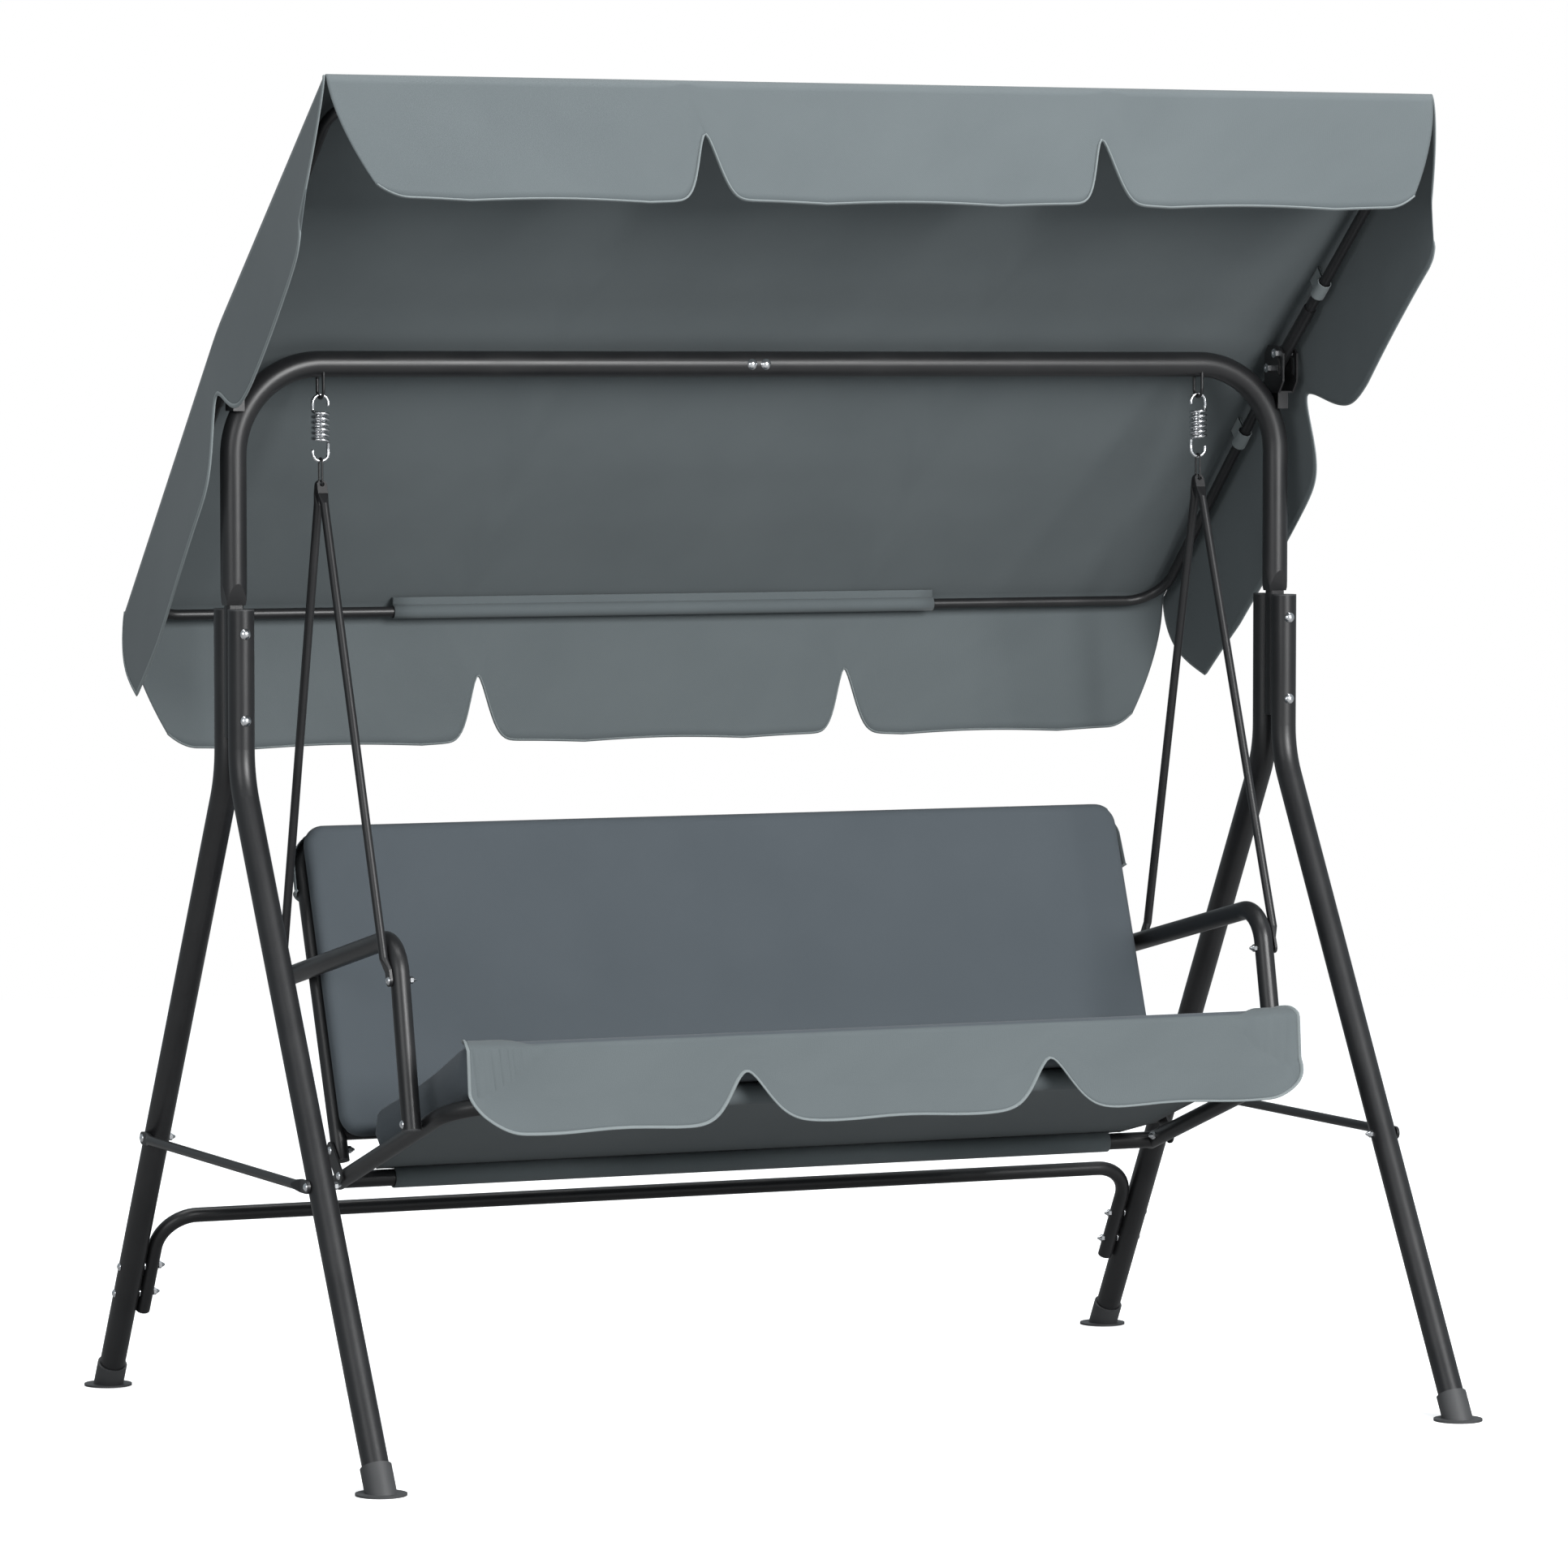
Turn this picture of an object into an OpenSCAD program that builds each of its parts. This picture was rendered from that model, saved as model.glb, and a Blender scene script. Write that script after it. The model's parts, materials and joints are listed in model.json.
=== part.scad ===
// Three-seat garden swing with a tilting canopy: a tubular A-frame with an
// overhead arch, a padded bench hung on two springs, and a fabric roof.
// Millimetres. X is the width, -Y is the front, +Z is up, and the origin
// lies on the floor midway between the four feet.

/* [Stand] */
// Outer diameter of the legs and of the arch
frame_d = 38; // [32:1:45]
// Wall of every steel tube
wall = 1.2; // [1:0.1:2]
// Half of the distance between the left and right leg planes
leg_x = 843.5; // [760:0.5:930]
// Half of the distance between the front and rear feet
foot_y = 578; // [500:1:680]
// Height at which the legs bend from slanted to vertical
leg_bend_z = 955; // [860:1:1010]
// Height of the top of the legs
leg_top_z = 1193; // [1150:1:1200]
// Free distance between the front and rear leg tubes at the top
leg_gap = 21; // [19:0.5:26]
// Height of the arch's centre line
arch_z = 1545; // [1490:1:1700]
// Bend radius of the arch's corners
arch_bend_r = 132; // [110:1:150]
// Height of the side braces
brace_z = 400; // [340:1:480]
// Diameter of the side braces
brace_d = 14; // [12:1:18]
// Diameter of the rear cross tube
cross_d = 22; // [18:1:26]
// Height of the rear cross tube
cross_z = 272; // [240:1:330]
// Diameter of the foot flange
foot_flange_d = 72; // [60:1:90]
// Height of the foot sleeve along the leg
foot_h = 36; // [30:1:50]

/* [Seat] */
// Outer diameter of the seat and back tubes
seat_d = 25; // [22:1:28]
// Half of the distance between the seat side rails
rail_x = 663; // [600:1:670]
// Slope of the seat frame, degrees, front edge up
seat_slope = 18.47; // [14:0.1:22]
// Front tube position, forward of the hanging plane
front_tube_y = 395; // [360:1:430]
// Height of the seat frame's plane below the hanging plane's foot
seat_z = 376; // [350:1:400]
// Recline of the backrest from the vertical, degrees
back_recline = 20.45; // [15:0.1:25]
// Height of the backrest's top tube
back_top_z = 842; // [780:1:900]
// Diameter of the armrest tube
arm_d = 28; // [25:1:30]
// Diameter of the hanger rods
rod_d = 12.7; // [11:0.1:14]
// Thickness of the back pad
back_pad_t = 28; // [20:1:34]
// Half width of the seat pad
seat_pad_x = 645; // [580:1:648]
// Half width of the back pad
back_pad_x = 674; // [600:1:674]

/* [Springs] */
// Wire diameter of the springs
spring_wire = 5; // [4:0.5:6]
// Outer diameter of the spring coil
spring_od = 27.5; // [24:0.5:32]
// Number of turns of the coil
spring_turns = 5.5; // [3.5:1:8.5]

/* [Canopy] */
// Half width of the roof fabric
roof_x = 866.5; // [866.5:1:960]
// Horizontal reach of the roof in front of the ridge
roof_front = 441; // [400:1:520]
// Rise of the roof from the ridge to the front edge
roof_rise = 344; // [300:1:400]
// Horizontal reach of the roof behind the ridge
roof_rear = 417; // [380:1:480]
// Fall of the roof from the ridge to the rear edge
roof_fall = 420; // [370:1:450]
// Height of the ridge above the tilt bolt
ridge_up = 57.5; // [54:0.5:70]
// Diameter of the canopy tubes
canopy_d = 16; // [14:0.5:18]
// Thickness of the fabric panels
cloth_t = 2.5; // [2:0.5:4]
// Depth of the front valance
front_valance = 181; // [140:1:220]
// Depth of the rear valance
rear_valance = 208; // [150:1:210]

/* [Hidden] */
$fn = 48;
steel = [0.16, 0.16, 0.17];
zinc = [0.80, 0.81, 0.82];
plastic = [0.22, 0.22, 0.23];
cloth = [0.36, 0.40, 0.42];

// Clearances: steel in steel, cloth over steel, shank in hole
slip = 0.2;
ease = 0.3;
hole_gap = 0.2;

// Stand, derived
top_y = (frame_d + leg_gap) / 2;
lean = atan2(foot_y - top_y, leg_bend_z);
leg_bend_r = 150;
leg_side = leg_x + frame_d / 2;
spigot_w = 28;
spigot_t = leg_gap - slip;
spigot_z = 1010;
shoulder_lo = leg_top_z + 7;
shoulder_hi = leg_top_z + 38;
bolt_hi = leg_top_z - 33;
bolt_lo = leg_top_z - 157;
seam_x = 8;
swage = 60;
cross_x = leg_x - frame_d / 2 - 1.5 - cross_d / 2;
cross_bend_r = 57;
cross_bolts = [151, 194];

// Canopy, derived
tilt_y = 3;
tilt_z = arch_z - 5.5;
lock_r = 32.5;
rail_out = leg_x + 4.5;
front_a = atan2(346, 408);
rear_a = atan2(389, 413);
ridge_z = tilt_z + ridge_up;
kink = [tilt_y - lock_r * cos(rear_a), tilt_z + lock_r * sin(rear_a)];
sock_d = canopy_d + 4;
cheek_t = 3;
front_slope = atan2(roof_rise, roof_front);
rear_slope = atan2(roof_fall, roof_rear);
front_end = [-roof_front + 13, ridge_z + roof_rise - 33];
rear_end = [roof_rear - 24, ridge_z - roof_fall - 4];

// Seat, derived
arm_x = rail_x + seat_d / 2 + arm_d / 2 + ease;
front_z = seat_z + front_tube_y * tan(seat_slope);
rear_y = 50;
spring_x = arm_x + arm_d / 2 + slip + rod_d / 2;
eye_wire = 4.5;
eye_r = 13;
link_wire = 3;
link_r = 6.5;
hook_r = 12;
hook_top = arch_z - 44;
hook_low = hook_top - 95.5;
eye_low = hook_top - spring_wire / 2 - ease - eye_wire / 2;
swing_z = eye_low + eye_r;
link_top = hook_low + spring_wire / 2 + ease + link_wire / 2;
link_low = hook_low - 35;
rock_z = link_low + link_r;
hole_y = 4.2;
hole_z = rock_z - sqrt(link_r * link_r - hole_y * hole_y);
back_y0 = 62;
back_z0 = 413;
pocket_h = 105;

// Unit vector along v
function unit(v) = v / norm(v);
// Angle turned at point i of the path p
function turn(p, i) = i <= 0 || i >= len(p) - 1 ? 0
    : acos(min(1, unit(p[i] - p[i - 1]) * unit(p[i + 1] - p[i])));
// Length from corner i to where its bend of radius r begins
function tang(p, i, r) = r * tan(turn(p, i) / 2);
// Rotation that carries the X, Y and Z axes onto the unit vectors x, y and z
function frame_of(x, y, z) = abs(x[2]) > 0.999999
    ? (x[2] < 0 ? [atan2(y[0], y[1]), 90, 0] : [atan2(-y[0], y[1]), -90, 0])
    : [atan2(y[2], z[2]), asin(-x[2]), atan2(x[1], x[0])];
// Height of the seat frame's plane at depth y
function seat_at(y) = seat_z - y * tan(seat_slope);
// Depth of the backrest's centre line at height z
function back_at(z) = back_y0 + (z - back_z0) * tan(back_recline);
// Centre line of the armrest at depth y (top) and at height z (front)
function arm_top_z(y) = 687 - 0.207 * y;
function arm_front_y(z) = -258 + 0.207 * (z - 676);

// Child drawn along +Z, carried onto the line from a to b
module along(a, b) {
    v = b - a;
    translate(a) rotate([0, acos(v[2] / norm(v)), atan2(v[1], v[0])]) children();
}

// Cross-section of a bar, or of a tube when its wall t is given
module section(d, t) difference() {
    circle(d = d);
    if (t > 0) circle(d = d - 2 * t);
}

// Round bar through the points p, which lie in one plane and turn one way, with bends of
// radius r; a tube when the wall t is given. Each stretch is drawn from the end of the last.
module rod(p, d, r = 1, t = 0) {
    n = unit(p[1] - p[0]);
    w = len(p) > 2 ? p[2] - p[1] : abs(n[0]) < 0.9 ? [-1, 0, 0] : [0, 0, -1];
    x = -unit(w - n * (w * n));
    translate(p[0]) rotate(frame_of(x, cross(n, x), n)) stretch(p, d, r, t, 1);
}
module stretch(p, d, r, t, i) {
    h = norm(p[i] - p[i - 1]) - tang(p, i - 1, r) - tang(p, i, r);
    if (h > 0.01) linear_extrude(height = h) section(d, t);
    if (i < len(p) - 1) translate([-r, 0, max(h, 0)]) {
        rotate([90, 0, 0]) rotate_extrude(angle = turn(p, i), $fn = 96)
            translate([r, 0]) section(d, t);
        rotate([0, -turn(p, i), 0]) translate([r, 0, 0]) stretch(p, d, r, t, i + 1);
    }
}

// Tube through the points p
module tube(p, d, r = 1, t = wall) rod(p, d, r, t);

// Children repeated on the left side
module both() {
    children();
    mirror([1, 0, 0]) children();
}

// Child mirrored for the left side only
module side(s) {
    if (s > 0) children();
    if (s < 0) mirror([1, 0, 0]) children();
}

// Domed bolt along +Z: head below z = 0, shank d, grip g, and a pointed cap nut
module bolt(g, d = 6) {
    hd = 2 * d;
    hh = 0.6 * d;
    sr = (hd * hd / 4 + hh * hh) / (2 * hh);
    intersection() {
        translate([0, 0, sr - hh]) sphere(r = sr);
        translate([0, 0, -hh - 1]) cylinder(d = hd, h = hh + 1);
    }
    cylinder(d = d, h = g + d * 0.8);
    difference() {
        union() {
            translate([0, 0, g]) cylinder(d = 1.9 * d, h = 0.75 * d, $fn = 6);
            translate([0, 0, g + 0.75 * d]) cylinder(d1 = 1.6 * d, d2 = 0.5 * d, h = 0.95 * d);
        }
        translate([0, 0, g - 1]) cylinder(d = d + hole_gap, h = d + 1);
    }
}

// Bolt along X through the point (x, y, z), head towards +X, grip g inwards
module bolt_x(x, y, z, g, d = 6) {
    translate([x, y, z]) rotate([0, -90, 0]) bolt(g, d);
}

// Hole along X through depth y and height z
module hole_x(y, z, x0, x1, d = 6) {
    translate([x0, y, z]) rotate([0, 90, 0]) cylinder(d = d + hole_gap, h = x1 - x0);
}

// Plug for the open end of a tube: the cap sits at a, and the tube runs on towards b
module plug(a, b, d, deep = 12) {
    along(a, b) {
        translate([0, 0, -2]) cylinder(d = d, h = 2);
        cylinder(d = d - 2 * wall - slip, h = deep);
    }
}

// Centre line of a front leg on the right side
function leg_path() = let (a = 14, y0 = foot_y - a * tan(lean))
    [[leg_x, -y0, a], [leg_x, -top_y, leg_bend_z], [leg_x, -top_y, leg_top_z]];
// Depth of the leg's centre line at height z, in its slanted part
function leg_at(z) = foot_y - z * tan(lean);

// One leg: sx is the side, sy is -1 at the front and 1 at the rear
module leg(sx, sy) {
    color(steel) side(sx) mirror([0, sy > 0 ? 1 : 0, 0]) difference() {
        tube(leg_path(), frame_d, leg_bend_r);
        for (z = [bolt_lo, bolt_hi])
            translate([leg_x, -top_y - frame_d, z]) rotate([-90, 0, 0])
                cylinder(d = 8 + hole_gap, h = 2 * frame_d);
        hole_x(-leg_at(brace_z), brace_z, leg_x - frame_d, leg_x + frame_d);
        if (sy > 0) for (z = cross_bolts)
            hole_x(-leg_at(z), z, leg_x - frame_d, leg_x + frame_d);
    }
}

// One foot cap: a floor flange and a sleeve that follows the leg
module foot(sx, sy) {
    u = [0, sin(lean), cos(lean)];
    e = [leg_x, -foot_y, 0];
    color(plastic) side(sx) mirror([0, sy > 0 ? 1 : 0, 0]) difference() {
        union() {
            translate(e) cylinder(d = foot_flange_d, h = 3);
            intersection() {
                along(e - u * 20, e + u * foot_h / cos(lean))
                    cylinder(d = frame_d + 6.5, h = 20 + foot_h / cos(lean));
                translate([leg_x - 60, -foot_y - 80, 0]) cube([120, 200, 100]);
            }
        }
        along(e + u * 14 / cos(lean), e + u * 100) cylinder(d = frame_d + 2 * slip, h = 80);
    }
}

// Lower end of the arch: round above, squeezed to fit between the legs below, inset by e
module spigot(e) {
    w = spigot_w - 2 * e;
    t = spigot_t - 2 * e;
    d = frame_d - 2 * e;
    translate([leg_x, 0, 0]) {
        intersection() {
            translate([0, 0, spigot_z - e]) cylinder(d = w, h = shoulder_lo - spigot_z + e);
            translate([-30, -t / 2, spigot_z - e]) cube([60, t, shoulder_lo - spigot_z + e]);
        }
        intersection() {
            translate([0, 0, shoulder_lo]) cylinder(d = d, h = shoulder_hi - shoulder_lo);
            rotate([90, 0, 0]) linear_extrude(height = 60, center = true)
                polygon([[-w / 2, shoulder_lo], [w / 2, shoulder_lo],
                    [d / 2, shoulder_hi], [-d / 2, shoulder_hi]]);
            rotate([90, 0, 90]) linear_extrude(height = 60, center = true)
                polygon([[-t / 2, shoulder_lo], [t / 2, shoulder_lo],
                    [d / 2, shoulder_hi], [-d / 2, shoulder_hi]]);
        }
    }
}

// Holes that the arch's own bolts and the spring eye need, right side
module arch_holes() {
    for (z = [bolt_lo, bolt_hi])
        translate([leg_x, -40, z]) rotate([-90, 0, 0]) cylinder(d = 8 + hole_gap, h = 80);
    for (y = [-eye_r, eye_r])
        translate([spring_x, y, arch_z - 30]) cylinder(d = eye_wire + hole_gap, h = 26);
}

module joint_holes() {
    for (x = [-39, -17])
        translate([x, -40, arch_z]) rotate([-90, 0, 0]) cylinder(d = 8 + hole_gap, h = 80);
}

module arch_half(s, end_x) {
    p = [[s * leg_x, 0, shoulder_hi], [s * leg_x, 0, arch_z], [end_x, 0, arch_z]];
    difference() {
        union() {
            tube(p, frame_d, arch_bend_r);
            side(s) difference() {
                spigot(0);
                spigot(wall + 0.4);
            }
        }
        side(s) arch_holes();
    }
}

module arch_left() color(steel) difference() {
    arch_half(-1, seam_x);
    joint_holes();
}

module arch_right() color(steel) difference() {
    union() {
        arch_half(1, seam_x);
        translate([seam_x - swage, 0, arch_z]) rotate([0, 90, 0]) difference() {
            cylinder(d = frame_d - 2 * wall - slip, h = swage + 20);
            translate([0, 0, -1]) cylinder(d = frame_d - 4 * wall, h = swage + 22);
        }
    }
    joint_holes();
}

module arch_joint_bolts() color(zinc)
    for (x = [-39, -17]) translate([x, -frame_d / 2, arch_z]) rotate([-90, 0, 0]) bolt(frame_d, 8);

module leg_bolts() color(zinc) both() for (z = [bolt_lo, bolt_hi])
    translate([leg_x, -top_y - frame_d / 2, z]) rotate([-90, 0, 0]) bolt(2 * top_y + frame_d, 8);

module leg_caps() color(plastic) both() for (s = [-1, 1])
    plug([leg_x, s * top_y, leg_top_z], [leg_x, s * top_y, 0], frame_d);

// Rear cross tube, right half's centre line
function cross_path() = let (z0 = 122)
    [[cross_x, leg_at(z0), z0], [cross_x, leg_at(cross_z), cross_z], [0, leg_at(cross_z), cross_z]];

module cross_half() difference() {
    tube(cross_path(), cross_d, cross_bend_r);
    for (z = cross_bolts) hole_x(leg_at(z), z, cross_x - cross_d, cross_x + cross_d);
}

module cross_tube_left() color(steel) mirror([1, 0, 0]) cross_half();

module cross_tube_right() color(steel) {
    cross_half();
    translate([-swage, leg_at(cross_z), cross_z]) rotate([0, 90, 0]) difference() {
        cylinder(d = cross_d - 2 * wall - slip, h = swage + 15);
        translate([0, 0, -1]) cylinder(d = cross_d - 4 * wall, h = swage + 17);
    }
}

module cross_tube_bolts() both() for (z = cross_bolts) {
    color(zinc) bolt_x(leg_side, leg_at(z), z, leg_side - cross_x + cross_d / 2);
    color(zinc) translate([cross_x + cross_d / 2, leg_at(z), z]) rotate([0, 90, 0]) difference() {
        cylinder(d = 14, h = 1.5);
        translate([0, 0, -1]) cylinder(d = 6 + hole_gap, h = 4);
    }
}

// Bar along Z of diameter d with a flattened, drilled tongue at its lower end.
// The tongue's hole is at the origin, and its faces look along X, centred on off.
module tongue(d, w, t, off, up) {
    difference() {
        union() {
            translate([off - t / 2, 0, 0]) rotate([0, 90, 0]) cylinder(d = w, h = t);
            translate([off - t / 2, -w / 2, 0]) cube([t, w, up]);
            hull() {
                translate([off - t / 2, -w / 2, up - 0.5]) cube([t, w, 0.5]);
                translate([0, 0, up + 18]) cylinder(d = d, h = 0.5, $fn = 32);
            }
        }
        translate([off - t, 0, 0]) rotate([0, 90, 0]) cylinder(d = 6 + hole_gap, h = 2 * t);
    }
}

module side_brace() {
    y = leg_at(brace_z);
    x0 = leg_side + slip;
    n = 22 + 18.25;
    translate([x0 + 4.4, 0, brace_z]) {
        for (s = [0, 1]) mirror([0, s, 0])
            translate([0, -y, 0]) rotate([-90, 0, 0]) tongue(brace_d, 19, 4, -2.4, 22);
        translate([0, -y + n, 0]) rotate([-90, 0, 0])
            linear_extrude(height = 2 * (y - n)) section(brace_d, wall);
    }
}

module side_brace_left() color(steel) mirror([1, 0, 0]) side_brace();
module side_brace_right() color(steel) side_brace();

module brace_bolts() color(zinc) both() for (s = [-1, 1])
    bolt_x(leg_side + slip + 4, s * leg_at(brace_z), brace_z, frame_d + slip + 4);

// Bent wire that carries a spring below the arch
module spring_eye() rod([[spring_x, -eye_r, arch_z - 8], [spring_x, -eye_r, eye_low],
    [spring_x, eye_r, eye_low], [spring_x, eye_r, arch_z - 8]], eye_wire, eye_r);
module spring_eye_left() color(steel) mirror([1, 0, 0]) spring_eye();
module spring_eye_right() color(steel) spring_eye();

// Outline of a bracket cheek in depth and height, with the tilt hole and the arc slot
module cheek() {
    difference() {
        polygon([[tilt_y - 28, tilt_z - 38], [tilt_y + 6, tilt_z - 38], [tilt_y + 17, tilt_z - 20],
            [tilt_y + 17, tilt_z + 22], [tilt_y + 6, tilt_z + 35], [tilt_y - 30, tilt_z + 32.5],
            [tilt_y - 42, tilt_z + 22], [tilt_y - 42, tilt_z - 20]]);
        translate([tilt_y, tilt_z]) circle(d = 8 + hole_gap);
        translate([tilt_y, tilt_z]) {
            difference() {
                circle(r = lock_r + 4 + hole_gap);
                circle(r = lock_r - 4 - hole_gap);
                rotate(180 - rear_a - 8.5) translate([-100, -100]) square([200, 100]);
                rotate(200) translate([-100, 0]) square([200, 100]);
            }
        }
    }
}

module canopy_bracket() {
    x0 = rail_out - sock_d / 2 - slip - cheek_t;
    x1 = rail_out + sock_d / 2 + slip;
    difference() {
        union() {
            for (x = [x0, x1]) translate([x, 0, 0]) rotate([90, 0, 90])
                linear_extrude(height = cheek_t) cheek();
            translate([x0, tilt_y - 28, tilt_z - 38]) cube([x1 - x0 + cheek_t, 34, 3]);
            difference() {
                translate([x0, tilt_y - 28, tilt_z - 110]) cube([17, 34, 74]);
                translate([x0 - 1, tilt_y - 25, tilt_z - 120]) cube([15, 28, 82]);
            }
        }
        rod([[leg_x, 0, 1000], [leg_x, 0, arch_z], [0, 0, arch_z]], frame_d + 2 * slip, arch_bend_r);
        translate([x0 - 1, -60, arch_z - 128]) cube([30, 120, 61]);
    }
}
module canopy_bracket_left() color(steel) mirror([1, 0, 0]) canopy_bracket();
module canopy_bracket_right() color(steel) canopy_bracket();

// Point at distance e from the kink, along the front (s = -1) or rear (s = 1) canopy rail
function rail_pt(s, e) = s < 0
    ? [rail_out, kink[0] - e * cos(front_a), kink[1] + e * sin(front_a)]
    : [rail_out, kink[0] + e * cos(rear_a), kink[1] - e * sin(rear_a)];
function flip(p) = [-p[0], p[1], p[2]];

// U-shaped canopy tube between the sides, from e beyond the kink to the corner c
module canopy_u(s, e, c) {
    k = rail_pt(s, e);
    q = [rail_out, c[0], c[1]];
    tube([flip(k), flip(q), q, k], canopy_d, 60, 1);
}
module canopy_frame_front() color(steel) canopy_u(-1, 14, front_end);
module canopy_frame_rear() color(steel) canopy_u(1, lock_r + 12, rear_end);

// Socket at the bracket that joins the front and rear canopy tubes
module canopy_joiner() difference() {
    rod([rail_pt(-1, 105), rail_pt(-1, 0), rail_pt(1, 105)], sock_d, 60);
    for (s = [-1, 1]) along(rail_pt(s, s < 0 ? 13 : lock_r + 11), rail_pt(s, 120))
        cylinder(d = canopy_d + 2 * slip, h = 110);
    hole_x(tilt_y, tilt_z, rail_out - 20, rail_out + 20, 8);
    hole_x(kink[0], kink[1], rail_out - 20, rail_out + 20, 8);
}
module canopy_joiner_left() color(steel) mirror([1, 0, 0]) canopy_joiner();
module canopy_joiner_right() color(steel) canopy_joiner();

module canopy_bolts() color(zinc) both() {
    g = sock_d + 4 * slip + 2 * cheek_t;
    for (q = [[tilt_y, tilt_z], kink]) translate([rail_out + g / 2, q[0], q[1]])
        rotate([0, -90, 0]) bolt_low(g);
}
// Low-headed bolt for the bracket, shank 8
module bolt_low(g) {
    translate([0, 0, -2]) cylinder(d = 14, h = 2);
    cylinder(d = 8, h = g + 5);
    difference() {
        translate([0, 0, g]) cylinder(d = 15, h = 6, $fn = 6);
        translate([0, 0, g - 1]) cylinder(d = 8 + hole_gap, h = 9);
    }
}

// Roof: two straight slopes that meet at the ridge
module canopy_roof() color(cloth) {
    t1 = cloth_t / cos(rear_slope);
    rotate([90, 0, 90]) linear_extrude(height = 2 * roof_x, center = true)
        polygon([[-roof_front, ridge_z + roof_rise], [0, ridge_z], [roof_rear, ridge_z - roof_fall],
            [roof_rear, ridge_z - roof_fall - t1], [0, ridge_z - t1],
            [-roof_front, ridge_z + roof_rise - t1]]);
}

// Half outline of a hanging panel with a notch at nx: h is its depth, a the notch's height
function lobes(w, h, nx, a, nw, slant) = [[w, 0], [w - slant * 0.45, h * 0.45],
    [w - slant * 0.7, h * 0.8], [w - slant, h * 0.95], [w - slant * 1.4, h],
    [nx + nw * 1.6, h], [nx + nw, h * 0.97], [nx + nw * 0.25, a + 8], [nx, a],
    [nx - nw * 0.25, a + 8], [nx - nw, h * 0.97], [nx - nw * 1.6, h]];
function reversed(p) = [for (i = [len(p) - 1 : -1 : 0]) p[i]];
function both_halves(p) = concat(p, reversed([for (q = p) [-q[0], q[1]]]));

// Panel drawn in width and depth, hung from (y, z) and swung out by the angle a
module hung(y, z, a, p) translate([0, y, z]) rotate([-90 - a, 0, 0])
    linear_extrude(height = cloth_t) polygon(p);

module canopy_valance_front() color(cloth)
    hung(-roof_front - ease - cloth_t, ridge_z + roof_rise, 17.2,
        both_halves(lobes(roof_x, front_valance, 330, 80, 45, 60)));

module canopy_valance_rear() color(cloth)
    hung(roof_rear + 2 * ease, ridge_z - roof_fall, 6,
        both_halves(lobes(roof_x - 14, rear_valance, 330, 103, 58, 50)));

// Side panel, in distance along the mean slope and depth below the ridge line
module canopy_valance_side() {
    m = atan2(roof_rise + roof_fall, roof_front + roof_rear);
    u = [0, cos(m), -sin(m)];
    v = [sin(8), -sin(m) * cos(8), -cos(m) * cos(8)];
    a = roof_front / cos(m) * 0.97;
    b = roof_rear / cos(m) * 1.06;
    translate([roof_x + cloth_t + 0.2, 0, ridge_z]) rotate(frame_of(u, v, cross(u, v)))
        linear_extrude(height = cloth_t)
            polygon([[0, 0], [-a + 13, 36], [-a + 60, 64], [-a + 123, 128], [-a + 168, 175],
                [-a + 205, 189], [-216, 191], [-76, 194], [-10, 190], [4, 178], [34, 98], [42, 92],
                [52, 98], [108, 121], [162, 177], [190, 195], [220, 199], [410, 205], [b - 22, 200],
                [b - 8, 185], [b + 12, 133], [b + 8, 46], [b - 4, 36]]);
}
module canopy_valance_left() color(cloth) mirror([1, 0, 0]) canopy_valance_side();
module canopy_valance_right() color(cloth) canopy_valance_side();

// Loop of webbing round a rail, carried up to the roof
module strap(s, e) {
    k = rail_pt(s, e);
    a = s < 0 ? front_a : rear_a;
    slope = s < 0 ? front_slope : rear_slope;
    t1 = cloth_t / cos(rear_slope);
    intersection() {
        translate(k) rotate([90 - a, 0, 0]) difference() {
            translate([0, 0, -15]) union() {
                cylinder(d = sock_d + 3, h = 30);
                translate([-1.5, 0, 0]) cube([3, 60, 30]);
            }
            translate([0, 0, -20]) cylinder(d = canopy_d + 2 * ease, h = 40);
        }
        rotate([90, 0, 90]) linear_extrude(height = 3000, center = true)
            polygon([[-roof_front, ridge_z + roof_rise - t1 - ease], [0, ridge_z - t1 - ease],
                [roof_rear, ridge_z - roof_fall - t1 - ease], [roof_rear, 0], [-roof_front, 0]]);
    }
}
module canopy_straps() color(cloth) both() {
    strap(-1, 150);
    strap(1, 190);
}

// Sewn sleeves that hold the front and rear canopy tubes to the roof
module canopy_sleeves() color(cloth) {
    t1 = cloth_t / cos(rear_slope);
    for (q = [front_end, rear_end]) intersection() {
        translate([0, q[0], q[1]]) rotate([0, 90, 0]) difference() {
            union() {
                cylinder(d = canopy_d + 2 * ease + 3, h = 900, center = true);
                translate([-40, -1.5, -450]) cube([40, 3, 900]);
            }
            cylinder(d = canopy_d + 2 * ease, h = 1000, center = true);
        }
        rotate([90, 0, 90]) linear_extrude(height = 3000, center = true)
            polygon([[-roof_front, ridge_z + roof_rise - t1 - ease], [0, ridge_z - t1 - ease],
                [roof_rear, ridge_z - roof_fall - t1 - ease], [roof_rear, 0], [-roof_front, 0]]);
    }
}

// Centre line of a spring, about its own axis, with the upper hook's leg at -X
spring_r = (spring_od - spring_wire) / 2;
coil_top = hook_top - 24.5;
coil_low = hook_low + 28.5;
function spring_path() = concat(
    [for (a = [-20 : 20 : 180]) [hook_r * cos(a), 0, hook_top - hook_r + hook_r * sin(a)]],
    [[-hook_r, 0, coil_top + 6]],
    [for (i = [0 : 1 : 14 * spring_turns]) let (a = 180 + i / 14 * 360)
        [spring_r * cos(a), spring_r * sin(a),
            coil_top + (coil_low - coil_top) * i / (14 * spring_turns)]],
    [[hook_r, 0, coil_low - 6]],
    [for (a = [0 : -20 : -200]) [hook_r * cos(a), 0, hook_low + hook_r + hook_r * sin(a)]]);

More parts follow.
